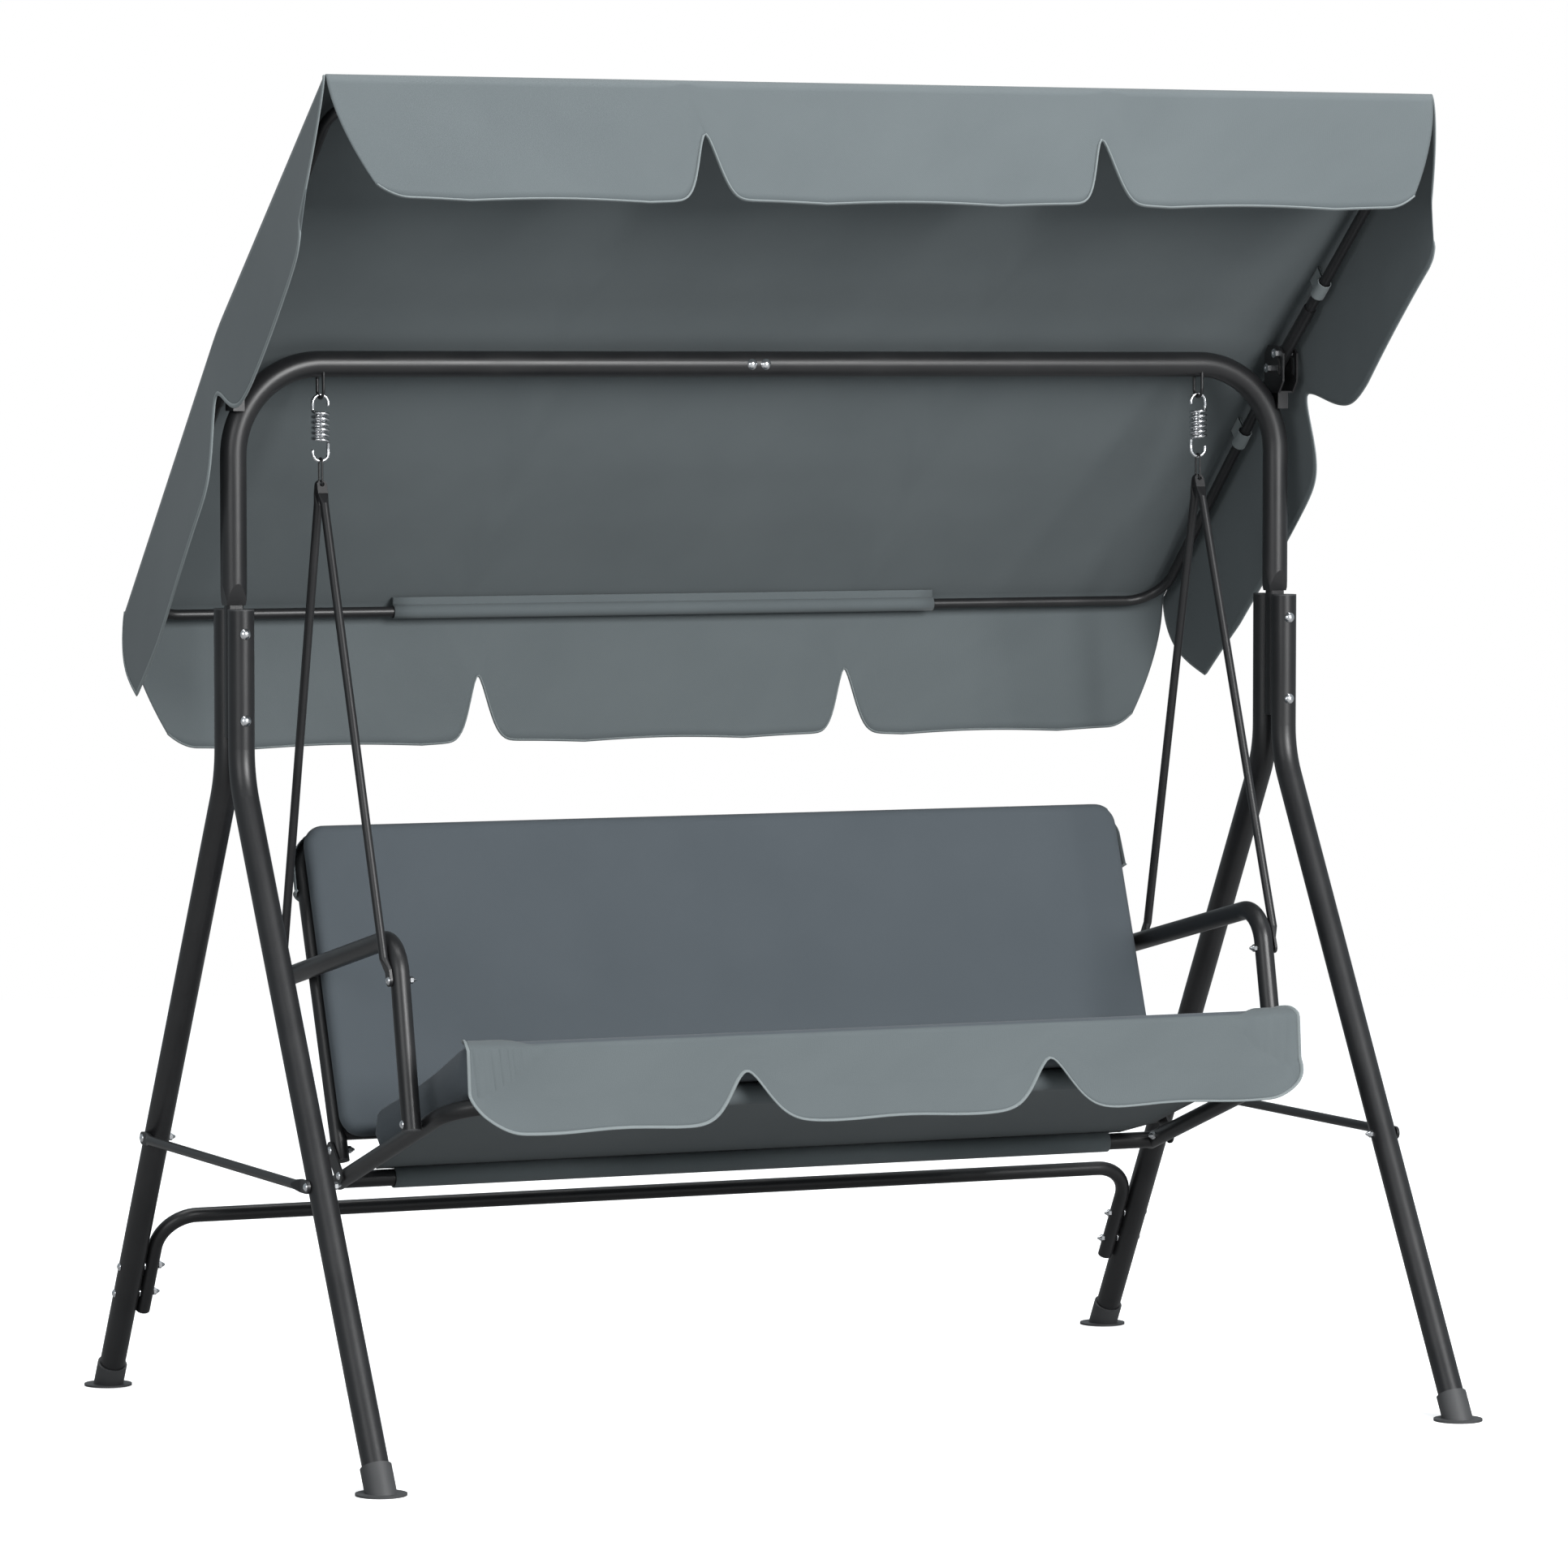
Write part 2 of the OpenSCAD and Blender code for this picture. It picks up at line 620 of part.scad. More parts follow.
// Solid wire of diameter d along the points p, with n sides
module wire(p, d, n = 8) {
    m = len(p);
    t = [for (i = [0 : m - 1]) unit(p[min(i + 1, m - 1)] - p[max(i - 1, 0)])];
    u = [for (i = 0, v = [0, 1, 0]; i < m; i = i + 1,
        v = i < m ? unit(v - t[i] * (v * t[i])) : v) v];
    pts = [for (i = [0 : m - 1]) let (v = unit(u[i] - t[i] * (u[i] * t[i])), w = cross(t[i], v))
        for (k = [0 : n - 1]) p[i] + d / 2 * (v * cos(k * 360 / n) + w * sin(k * 360 / n))];
    faces = concat([[for (k = [n - 1 : -1 : 0]) k]],
        [for (i = [0 : m - 2]) for (k = [0 : n - 1]) let (j = (k + 1) % n)
            each [[i * n + k, i * n + j, (i + 1) * n + j], [i * n + k, (i + 1) * n + j, (i + 1) * n + k]]],
        [[for (k = [0 : n - 1]) (m - 1) * n + k]]);
    polyhedron(points = pts, faces = [for (f = faces) reversed(f)], convexity = 10);
}
module spring_left() color(zinc) translate([-spring_x, 0, 0]) wire(spring_path(), spring_wire);
module spring_right() color(zinc) mirror([1, 0, 0]) translate([-spring_x, 0, 0])
    wire(spring_path(), spring_wire);

// Closed wire link between a spring and its two rods
module hanger_link() {
    hi = link_top - link_r;
    translate([spring_x, 0, 0]) {
        for (s = [-1, 1]) translate([0, s * link_r, rock_z]) cylinder(d = link_wire, h = hi - rock_z);
        translate([0, 0, hi]) rotate([90, 0, 90]) rotate_extrude(angle = 180)
            translate([link_r, 0]) circle(d = link_wire);
        translate([0, 0, rock_z]) rotate([-90, 0, 90]) rotate_extrude(angle = 180)
            translate([link_r, 0]) circle(d = link_wire);
    }
}
module hanger_link_left() color(steel) mirror([1, 0, 0]) hanger_link();
module hanger_link_right() color(steel) hanger_link();

// Hanger rod on the right side, from its armrest bolt (y, z) to the link's hole on side s
module hanger_rod(s, y, z) {
    top = [0, s * hole_y, hole_z];
    d = top - [0, y, z];
    len_ = norm(d);
    a = atan2(-d[1], d[2]);
    translate([spring_x, y, z]) rotate([a, 0, 0]) {
        tongue(rod_d, 17, 4, -rod_d / 2 + 2, 14);
        translate([0, 0, 32.25]) linear_extrude(height = len_ - 62) section(rod_d, wall);
        translate([0, 0, len_]) difference() {
            union() {
                translate([0, 1.5, -1]) rotate([90, 0, 0]) cylinder(d = 15, h = 3);
                translate([-7.5, -1.5, -14]) cube([15, 3, 13]);
                hull() {
                    translate([-7.5, -1.5, -14]) cube([15, 3, 0.5]);
                    translate([0, 0, -30]) cylinder(d = rod_d, h = 0.5, $fn = 32);
                }
            }
            translate([0, 5, 0]) rotate([90, 0, 0]) cylinder(d = 7.2, h = 10);
        }
    }
}
front_bolt = [arm_front_y(676), 676];
rear_bolt = [170, arm_top_z(170)];
module hanger_rod_front_left() color(steel) mirror([1, 0, 0])
    hanger_rod(-1, front_bolt[0], front_bolt[1]);
module hanger_rod_front_right() color(steel) hanger_rod(-1, front_bolt[0], front_bolt[1]);
module hanger_rod_rear_left() color(steel) mirror([1, 0, 0])
    hanger_rod(1, rear_bolt[0], rear_bolt[1]);
module hanger_rod_rear_right() color(steel) hanger_rod(1, rear_bolt[0], rear_bolt[1]);

// Bolt places, in depth and height
arm_back = [(149 + back_at(656)) / 2, arm_top_z(151)];
arm_rail_y = arm_front_y(seat_at(-300));
arm_rail = [arm_rail_y, seat_at(arm_rail_y)];
plate_up = [back_at(402), 402];
plate_low = [22, seat_at(22)];

module armrest() difference() {
    corner_y = (-258 + 0.207 * 11) / (1 + 0.207 * 0.207);
    tube([[arm_x, 195, arm_top_z(195)], [arm_x, corner_y, arm_top_z(corner_y)],
        [arm_x, arm_front_y(468), 468]], arm_d, 54);
    for (q = [front_bolt, rear_bolt, arm_back, arm_rail])
        hole_x(q[0], q[1], arm_x - arm_d, arm_x + arm_d);
}
module armrest_left() color(steel) mirror([1, 0, 0]) armrest();
module armrest_right() color(steel) armrest();

// Side rail that turns inwards at the front and runs to the middle
rail_path = [[rail_x, rear_y + 9, seat_at(rear_y + 9)], [rail_x, -front_tube_y, front_z],
    [0, -front_tube_y, front_z]];
module seat_rail() difference() {
    tube(rail_path, seat_d, 70);
    for (q = [arm_rail, plate_low]) hole_x(q[0], q[1], rail_x - seat_d, rail_x + seat_d);
}
module seat_rail_left() color(steel) mirror([1, 0, 0]) seat_rail();
module seat_rail_right() color(steel) {
    seat_rail();
    translate([-swage, -front_tube_y, front_z]) rotate([0, 90, 0]) difference() {
        cylinder(d = seat_d - 2 * wall - slip, h = swage + 15);
        translate([0, 0, -1]) cylinder(d = seat_d - 4 * wall, h = swage + 17);
    }
}

module seat_rear_tube() color(steel) difference() {
    tube([[-rail_x, rear_y, seat_at(rear_y)], [rail_x, rear_y, seat_at(rear_y)]], seat_d);
    for (s = [-1, 1]) along([s * rail_x, -40, seat_at(-40)], [s * rail_x, 120, seat_at(120)])
        translate([0, 0, -10]) cylinder(d = seat_d + 2 * slip, h = 200);
}

// U-shaped back tube
module back_frame() color(steel) {
    z0 = 388;
    difference() {
        tube([[-rail_x, back_at(z0), z0], [-rail_x, back_at(back_top_z), back_top_z],
            [rail_x, back_at(back_top_z), back_top_z], [rail_x, back_at(z0), z0]], seat_d, 46);
        for (q = [arm_back, plate_up]) both() hole_x(q[0], q[1], rail_x - seat_d, rail_x + seat_d);
    }
}

module back_lower_tube() color(steel) difference() {
    z = 426;
    tube([[-rail_x, back_at(z), z], [rail_x, back_at(z), z]], 22);
    for (s = [-1, 1]) along([s * rail_x, back_at(380), 380], [s * rail_x, back_at(480), 480])
        translate([0, 0, -20]) cylinder(d = seat_d + 2 * slip, h = 160);
}

// Flat plate that ties an upright to its rail
module corner_plate() {
    d = plate_up - plate_low;
    translate([rail_x + seat_d / 2 + slip, plate_low[0], plate_low[1]])
        rotate([atan2(d[1], d[0]), 0, 0]) difference() {
            union() {
                rotate([0, 90, 0]) cylinder(d = 26, h = 3);
                translate([0, norm(d), 0]) rotate([0, 90, 0]) cylinder(d = 26, h = 3);
                translate([0, 0, -13]) cube([3, norm(d), 26]);
            }
            for (y = [0, norm(d)]) translate([-1, y, 0]) rotate([0, 90, 0])
                cylinder(d = 6 + hole_gap, h = 5);
        }
}
module corner_plates() color(steel) both() corner_plate();

module seat_caps() color(plastic) both() {
    plug(rail_path[0], rail_path[1], seat_d);
    plug([rail_x, back_at(388), 388], [rail_x, back_at(700), 700], seat_d, 8);
    plug([arm_x, 195, arm_top_z(195)], [arm_x, 0, arm_top_z(0)], arm_d);
    plug([arm_x, arm_front_y(468), 468], [arm_x, arm_front_y(600), 600], arm_d, 4);
}

module hanger_bolts() color(zinc) both() for (q = [front_bolt, rear_bolt])
    bolt_x(arm_x + arm_d / 2 + slip + 4, q[0], q[1], arm_d + slip + 4);

module seat_bolts() color(zinc) both() {
    for (q = [arm_back, arm_rail])
        bolt_x(arm_x + arm_d / 2, q[0], q[1], arm_d + ease + seat_d);
    for (q = [plate_up, plate_low])
        bolt_x(rail_x + seat_d / 2 + slip + 3, q[0], q[1], 3 + slip + seat_d);
}

// Under-seat fabric: a sheet that wraps the front and the rear tube
module seat_sling() color(cloth) {
    r0 = seat_d / 2 + ease;
    r1 = r0 + 3;
    run = (front_tube_y + rear_y) / cos(seat_slope);
    translate([0, rear_y, seat_at(rear_y)]) rotate([-seat_slope, 0, 0]) difference() {
        union() {
            translate([-640, -run, r0]) cube([1280, run, 3]);
            rotate([0, 90, 0]) cylinder(r = r1, h = 1166, center = true);
            translate([0, -run, 0]) rotate([0, 90, 0]) cylinder(r = r1, h = 1176, center = true);
        }
        rotate([0, 90, 0]) cylinder(r = r0, h = 1400, center = true);
        translate([0, -run, 0]) rotate([0, 90, 0]) cylinder(r = r0, h = 1400, center = true);
    }
}

// Padded seat, drawn as its side outline in depth and height
module seat_pad() color(cloth) {
    g = (seat_d / 2 + ease + 3 + ease) / cos(seat_slope);
    back_face = (seat_d / 2 + ease + back_pad_t + ease) / cos(back_recline);
    rotate([90, 0, 90]) linear_extrude(height = 2 * seat_pad_x, center = true)
        polygon([[back_at(440) - back_face, 440], [-36, 470], [-147, 505], [-239, 537],
            [-350, 584], [-385, 595], [-412, 598], [-427, 593], [-432, 582], [-430, 550],
            [-424, seat_at(-424) + g], [back_at(392) - back_face, seat_at(9) + g]]);
}

// Scalloped front skirt of the seat
module seat_valance() color(cloth) {
    translate([0, -428.1, 596]) rotate([-90 - 17, 0, 0]) translate([0, 0, -cloth_t])
        linear_extrude(height = cloth_t)
        polygon(both_halves([[622, 3], [648, 36], [658, 68], [650, 104], [632, 122], [608, 129],
            [400, 122], [310, 128], [285, 118], [250, 62], [238, 53], [226, 62], [190, 118],
            [162, 128]]));
}

// Child drawn in the backrest's own axes: X across, Y along the normal to the rear, Z up the back
module in_back() translate([0, back_y0, back_z0]) rotate([-back_recline, 0, 0]) children();
back_top = (back_top_z - back_z0) / cos(back_recline) + seat_d / 2 + ease;

// Outline across the back with rounded upper corners
module back_outline(w, lo, hi, r) {
    translate([-w, lo]) square([2 * w, hi - lo - r]);
    translate([-w + r, lo]) square([2 * w - 2 * r, hi - lo]);
    for (s = [-1, 1]) translate([s * (w - r), hi - r]) circle(r = r);
}

module back_pad() color(cloth) in_back() translate([0, -seat_d / 2 - ease, 0])
    rotate([90, 0, 0]) linear_extrude(height = back_pad_t)
        back_outline(back_pad_x, 0, back_top + 3, 58);

// Open-bottomed pocket of cloth that hangs over the back's top tube
module back_pocket() color(cloth) in_back() {
    r0 = seat_d / 2 + ease;
    w0 = rail_x + r0;
    difference() {
        translate([0, r0 + 3, 0]) rotate([90, 0, 0]) linear_extrude(height = 2 * r0 + 3 - slip)
            back_outline(w0 + 2.5, back_top - pocket_h, back_top + 3, 58);
        translate([0, r0, 0]) rotate([90, 0, 0]) linear_extrude(height = 2 * r0 + 3)
            back_outline(w0, back_top - pocket_h - 1, back_top, 55.5);
    }
}

leg(-1, -1);  // leg_front_left
leg(1, -1);  // leg_front_right
leg(-1, 1);  // leg_rear_left
leg(1, 1);  // leg_rear_right
foot(-1, -1);  // foot_front_left
foot(1, -1);  // foot_front_right
foot(-1, 1);  // foot_rear_left
foot(1, 1);  // foot_rear_right
arch_left();
arch_right();
arch_joint_bolts();
leg_bolts();
leg_caps();
cross_tube_left();
cross_tube_right();
cross_tube_bolts();
side_brace_left();
side_brace_right();
brace_bolts();
spring_eye_left();
spring_eye_right();
canopy_bracket_left();
canopy_bracket_right();
canopy_frame_front();
canopy_frame_rear();
canopy_joiner_left();
canopy_joiner_right();
canopy_bolts();
canopy_roof();
canopy_valance_front();
canopy_valance_rear();
canopy_valance_left();
canopy_valance_right();
canopy_straps();
canopy_sleeves();
spring_left();
spring_right();
hanger_link_left();
hanger_link_right();
hanger_rod_front_left();
hanger_rod_front_right();
hanger_rod_rear_left();
hanger_rod_rear_right();
seat_rail_left();
seat_rail_right();
seat_rear_tube();
back_frame();
back_lower_tube();
corner_plates();
armrest_left();
armrest_right();
seat_caps();
hanger_bolts();
seat_bolts();
seat_sling();
seat_pad();
seat_valance();
back_pad();
back_pocket();
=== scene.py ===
# %% [markdown]
# # A three-seat garden swing
# The steel frame of this swing comes ready made: tubes, bolts, brackets and feet are exact
# solids, and this file only gives them their finishes. The soft goods are made here: the
# canopy, its hanging skirts, the padded seat and back, and the two springs. All of it is in
# metres, in the frame's own axes: X across, -Y to the front, Z up.

# %% Load the frame
import json
import math
import bpy
import numpy as np
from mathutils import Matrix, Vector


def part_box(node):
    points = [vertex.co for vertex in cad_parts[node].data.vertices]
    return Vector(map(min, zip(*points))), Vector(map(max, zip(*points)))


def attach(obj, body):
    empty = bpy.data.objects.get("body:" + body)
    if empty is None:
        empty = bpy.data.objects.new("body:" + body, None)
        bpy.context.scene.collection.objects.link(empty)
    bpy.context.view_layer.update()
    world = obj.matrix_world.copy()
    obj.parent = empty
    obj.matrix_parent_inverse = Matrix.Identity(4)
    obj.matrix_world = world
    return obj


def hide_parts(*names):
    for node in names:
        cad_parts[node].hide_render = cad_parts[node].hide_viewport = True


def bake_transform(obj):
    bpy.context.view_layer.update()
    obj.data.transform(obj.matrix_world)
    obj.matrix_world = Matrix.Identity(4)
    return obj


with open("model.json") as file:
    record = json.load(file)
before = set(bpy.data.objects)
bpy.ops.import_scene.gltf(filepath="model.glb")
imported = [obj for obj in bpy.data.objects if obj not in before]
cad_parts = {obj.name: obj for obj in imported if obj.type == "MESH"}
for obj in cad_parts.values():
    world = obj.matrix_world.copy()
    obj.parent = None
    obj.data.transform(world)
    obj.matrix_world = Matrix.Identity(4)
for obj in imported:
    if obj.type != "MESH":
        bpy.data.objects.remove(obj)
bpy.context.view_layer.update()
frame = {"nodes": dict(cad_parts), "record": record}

# %% [markdown]
# ## Camera, floor and light
# The camera stands far off with a long lens, so the uprights stay nearly parallel. The floor
# is a plain pale sheet and the sky a white dome that lights the swing only weakly. A wide
# lamp in front gives the tubes their soft highlights, one at the left fills the shade, and
# one overhead lights the roof. A light path node keeps floor and sky white to the camera.

# %% Camera
camera = bpy.data.objects.new("camera", bpy.data.cameras.new("camera"))
bpy.context.scene.collection.objects.link(camera)
bpy.context.scene.camera = camera
camera.location = (-4.2828, -9.5733, 1.5373)
camera.rotation_euler = (math.radians(90 - 3.35), 0, math.radians(-24.204))
camera.data.sensor_width = 36
camera.data.lens = 162.6
camera.data.clip_end = 100
print("lens", camera.data.lens)


# %% Floor and lamps
def lamp(name, place, aim, size, power):
    """A square area lamp at place that looks at aim."""
    light = bpy.data.lights.new(name, "AREA")
    light.size, light.energy = size, power
    holder = bpy.data.objects.new(name, light)
    holder.location = place
    way = np.array(aim, float) - np.array(place, float)
    holder.rotation_euler = (math.acos(-way[2] / np.linalg.norm(way)), 0,
                             math.atan2(way[0], -way[1]) + math.pi)
    bpy.context.scene.collection.objects.link(holder)
    return holder


bpy.ops.mesh.primitive_circle_add(vertices=96, radius=7, fill_type="NGON",
                                  location=(0, 0, -0.0005))
floor = bpy.context.object
floor.name = "floor"
paper = bpy.data.materials.new("pale_floor")
paper.use_nodes = True
gloss = paper.node_tree.nodes["Principled BSDF"]
gloss.inputs["Roughness"].default_value = 0.9
seen = paper.node_tree.nodes.new("ShaderNodeLightPath")
tone = paper.node_tree.nodes.new("ShaderNodeValToRGB")
tone.color_ramp.elements[0].color = (0.30, 0.30, 0.30, 1)
tone.color_ramp.elements[1].color = (0.96, 0.96, 0.96, 1)
paper.node_tree.links.new(seen.outputs["Is Camera Ray"], tone.inputs[0])
paper.node_tree.links.new(tone.outputs[0], gloss.inputs["Base Color"])
glow = paper.node_tree.nodes.new("ShaderNodeMapRange")
glow.inputs["To Max"].default_value = 0.50
paper.node_tree.links.new(seen.outputs["Is Camera Ray"], glow.inputs["Value"])
gloss.inputs["Emission Color"].default_value = (1, 1, 1, 1)
paper.node_tree.links.new(glow.outputs[0], gloss.inputs["Emission Strength"])
floor.data.materials.append(paper)
world = bpy.data.worlds.new("dome")
world.use_nodes = True
hue = world.node_tree.nodes.new("ShaderNodeValToRGB")
hue.color_ramp.elements[0].color = (0.86, 0.95, 1.0, 1)
hue.color_ramp.elements[1].color = (1, 1, 1, 1)
sky = world.node_tree.nodes.new("ShaderNodeLightPath")
power = world.node_tree.nodes.new("ShaderNodeMapRange")
power.inputs["To Min"].default_value, power.inputs["To Max"].default_value = 0.36, 1.0
world.node_tree.links.new(sky.outputs["Is Camera Ray"], power.inputs["Value"])
world.node_tree.links.new(sky.outputs["Is Camera Ray"], hue.inputs[0])
world.node_tree.links.new(hue.outputs[0], world.node_tree.nodes["Background"].inputs["Color"])
world.node_tree.links.new(power.outputs[0], world.node_tree.nodes["Background"].inputs["Strength"])
bpy.context.scene.world = world
lamp("key_lamp", (1.5, -6.5, 3.2), (0, 0, 0.9), 3.0, 520)
lamp("fill_lamp", (-5.0, -4.0, 2.5), (0, 0, 0.8), 3.0, 90)
lamp("top_lamp", (0.0, -0.5, 7.0), (0, 0, 0), 5.0, 420)
bpy.context.scene.view_settings.view_transform = "Standard"
print("lamps ready")

# %% [markdown]
# ## Surfaces from arrays
# Each new piece is a grid of points worked out with numpy. One helper turns such a grid
# into a mesh with a cloth map in metres, so that a weave keeps its size on every piece.


# %% Grid to mesh
def surface(name, points, material, loop=False, thick=0.0):
    """A mesh from an (n, m, 3) array: each cell of the grid becomes one four-sided face.
    The map holds the distance along the rows and the columns, in metres. With loop, the
    last column joins the first. With thick, the sheet gets that thickness, half each way."""
    n, m = points.shape[:2]
    cols = m if loop else m - 1
    i, j = np.meshgrid(np.arange(n - 1), np.arange(cols), indexing="ij")
    k = (j + 1) % m
    quads = np.stack([i * m + j, i * m + k, (i + 1) * m + k, (i + 1) * m + j], -1).reshape(-1, 4)
    mesh = bpy.data.meshes.new(name)
    mesh.from_pydata(points.reshape(-1, 3).tolist(), [], quads.tolist())
    down = np.linalg.norm(np.diff(points, axis=0, prepend=points[:1]), axis=2).cumsum(0)
    across = np.linalg.norm(np.diff(points, axis=1, prepend=points[:, :1]), axis=2).cumsum(1)
    flat = np.stack([across.reshape(-1), down.reshape(-1)], -1)
    layer = mesh.uv_layers.new(name="cloth_map")
    layer.data.foreach_set("uv", flat[quads.reshape(-1)].astype(np.float32).reshape(-1))
    mesh.polygons.foreach_set("use_smooth", np.ones(len(quads), bool))
    mesh.materials.append(material)
    piece = bpy.data.objects.new(name, mesh)
    bpy.context.scene.collection.objects.link(piece)
    if thick:
        shell = piece.modifiers.new("cloth thickness", "SOLIDIFY")
        shell.thickness, shell.offset = thick, 0
    return piece


def tidy(piece, reach=1e-5):
    """Joins points that lie on each other and turns every face outwards."""
    import bmesh
    bm = bmesh.new()
    bm.from_mesh(piece.data)
    bmesh.ops.remove_doubles(bm, verts=bm.verts, dist=reach)
    bmesh.ops.recalc_face_normals(bm, faces=bm.faces)
    bm.to_mesh(piece.data)
    bm.free()
    return piece


def pipe(name, path, radius, material, sides=12, flat=1.0, closed_ends=True):
    """A round bar along path: at each point a ring of that radius stands square to the
    path. The ring's first direction is carried on from ring to ring without twist."""
    path = np.asarray(path, float)
    along = np.gradient(path, axis=0)
    along /= np.linalg.norm(along, axis=1, keepdims=True)
    side = np.empty_like(path)
    v = np.array([0.0, 1.0, 0.0]) if abs(along[0][1]) < 0.9 else np.array([1.0, 0.0, 0.0])
    for i, t in enumerate(along):
        v = v - t * (v @ t)
        v = v / np.linalg.norm(v)
        side[i] = v
    other = np.cross(along, side)
    a = np.linspace(0, 2 * np.pi, sides, endpoint=False)[None, :, None]
    rings = path[:, None] + radius * (np.cos(a) * side[:, None] + flat * np.sin(a) * other[:, None])
    if closed_ends:
        rings = np.concatenate([np.repeat(path[:1][:, None], sides, 1), rings,
                                np.repeat(path[-1:][:, None], sides, 1)])
    return tidy(surface(name, rings, material, loop=True))


print("helpers ready")

# %% [markdown]
# ## Finishes
# Two effects are shared: a cloth weave, and the fine unevenness of coated metal. Each is a
# node group that is built once and placed in the materials with its own values.


# %% Weave group
def group(name, inputs, outputs):
    """An empty node group with named number inputs and outputs."""
    tree = bpy.data.node_groups.new(name, "ShaderNodeTree")
    for label, kind, value in inputs:
        socket = tree.interface.new_socket(label, in_out="INPUT", socket_type=kind)
        if value is not None:
            socket.default_value = value
    for label, kind in outputs:
        tree.interface.new_socket(label, in_out="OUTPUT", socket_type=kind)
    return tree


def math_node(tree, operation, a, b=None):
    """The output of one sum or product of a and b, which are numbers or other outputs."""
    node = tree.nodes.new("ShaderNodeMath")
    node.operation = operation
    for place, value in enumerate((a, b)):
        if isinstance(value, (int, float)):
            node.inputs[place].default_value = value
        elif value is not None:
            tree.links.new(value, node.inputs[place])
    return node.outputs[0]


weave = group("cloth_weave",
              [("Map", "NodeSocketVector", None), ("Threads per metre", "NodeSocketFloat", 900.0),
               ("Streak", "NodeSocketFloat", 0.5)],
              [("Height", "NodeSocketFloat"), ("Tone", "NodeSocketFloat")])
gi, go = weave.nodes.new("NodeGroupInput"), weave.nodes.new("NodeGroupOutput")
parts = weave.nodes.new("ShaderNodeSeparateXYZ")
weave.links.new(gi.outputs["Map"], parts.inputs[0])
turns = math_node(weave, "MULTIPLY", gi.outputs["Threads per metre"], math.pi)
wx = math_node(weave, "SINE", math_node(weave, "MULTIPLY", parts.outputs[0], turns))
wy = math_node(weave, "SINE", math_node(weave, "MULTIPLY", parts.outputs[1], turns))
weave.links.new(math_node(weave, "MULTIPLY", wx, wy), go.inputs["Height"])
cloud = weave.nodes.new("ShaderNodeTexNoise")
cloud.inputs["Scale"].default_value = 6.0
cloud.inputs["Detail"].default_value = 6.0
weave.links.new(gi.outputs["Map"], cloud.inputs["Vector"])
fine = weave.nodes.new("ShaderNodeTexNoise")
fine.inputs["Scale"].default_value = 700.0
weave.links.new(gi.outputs["Map"], fine.inputs["Vector"])
mixed = math_node(weave, "ADD", math_node(weave, "MULTIPLY", cloud.outputs[0], 0.6),
                  math_node(weave, "MULTIPLY", fine.outputs[0], gi.outputs["Streak"]))
weave.links.new(mixed, go.inputs["Tone"])
print("weave group:", len(weave.nodes), "nodes")

# %% Coat group
coat = group("coat_grain",
             [("Place", "NodeSocketVector", None), ("Grain", "NodeSocketFloat", 900.0)],
             [("Height", "NodeSocketFloat"), ("Tone", "NodeSocketFloat")])
ci, co = coat.nodes.new("NodeGroupInput"), coat.nodes.new("NodeGroupOutput")
peel = coat.nodes.new("ShaderNodeTexNoise")
peel.inputs["Detail"].default_value = 3.0
coat.links.new(ci.outputs["Place"], peel.inputs["Vector"])
coat.links.new(ci.outputs["Grain"], peel.inputs["Scale"])
coat.links.new(peel.outputs[0], co.inputs["Height"])
dust = coat.nodes.new("ShaderNodeTexNoise")
dust.inputs["Scale"].default_value = 14.0
dust.inputs["Detail"].default_value = 5.0
coat.links.new(ci.outputs["Place"], dust.inputs["Vector"])
coat.links.new(dust.outputs[0], co.inputs["Tone"])
print("coat group:", len(coat.nodes), "nodes")


# %% Materials
def finish(name, effect, dark, light, rough, metal=0.0, bump=0.2, depth=0.0002, cloth=True, **values):
    """A Principled surface whose colour runs from dark to light, and whose bump and
    roughness follow a shared effect. Cloth reads its own map, and the rest its place."""
    mat = bpy.data.materials.new(name)
    mat.use_nodes = True
    tree = mat.node_tree
    shader = tree.nodes["Principled BSDF"]
    if cloth:
        where = tree.nodes.new("ShaderNodeUVMap")
        where.uv_map = "cloth_map"
        source = where.outputs[0]
    else:
        source = tree.nodes.new("ShaderNodeTexCoord").outputs["Object"]
    node = tree.nodes.new("ShaderNodeGroup")
    node.node_tree = effect
    tree.links.new(source, node.inputs[0])
    for label, value in values.items():
        node.inputs[label.replace("_", " ")].default_value = value
    ramp = tree.nodes.new("ShaderNodeValToRGB")
    ramp.color_ramp.elements[0].position, ramp.color_ramp.elements[1].position = 0.3, 0.75
    ramp.color_ramp.elements[0].color = (*dark, 1)
    ramp.color_ramp.elements[1].color = (*light, 1)
    tree.links.new(node.outputs["Tone"], ramp.inputs[0])
    tree.links.new(ramp.outputs[0], shader.inputs["Base Color"])
    relief = tree.nodes.new("ShaderNodeBump")
    relief.inputs["Strength"].default_value = bump
    relief.inputs["Distance"].default_value = depth
    tree.links.new(node.outputs["Height"], relief.inputs["Height"])
    tree.links.new(relief.outputs[0], shader.inputs["Normal"])
    uneven = tree.nodes.new("ShaderNodeMapRange")
    uneven.inputs["To Min"].default_value = rough - 0.06
    uneven.inputs["To Max"].default_value = rough + 0.06
    tree.links.new(node.outputs["Tone"], uneven.inputs["Value"])
    tree.links.new(uneven.outputs[0], shader.inputs["Roughness"])
    shader.inputs["Metallic"].default_value = metal
    if cloth:
        shader.inputs["Sheen Weight"].default_value = 0.08
        shader.inputs["Sheen Roughness"].default_value = 0.5
        shader.inputs["Specular IOR Level"].default_value = 0.3
    return mat


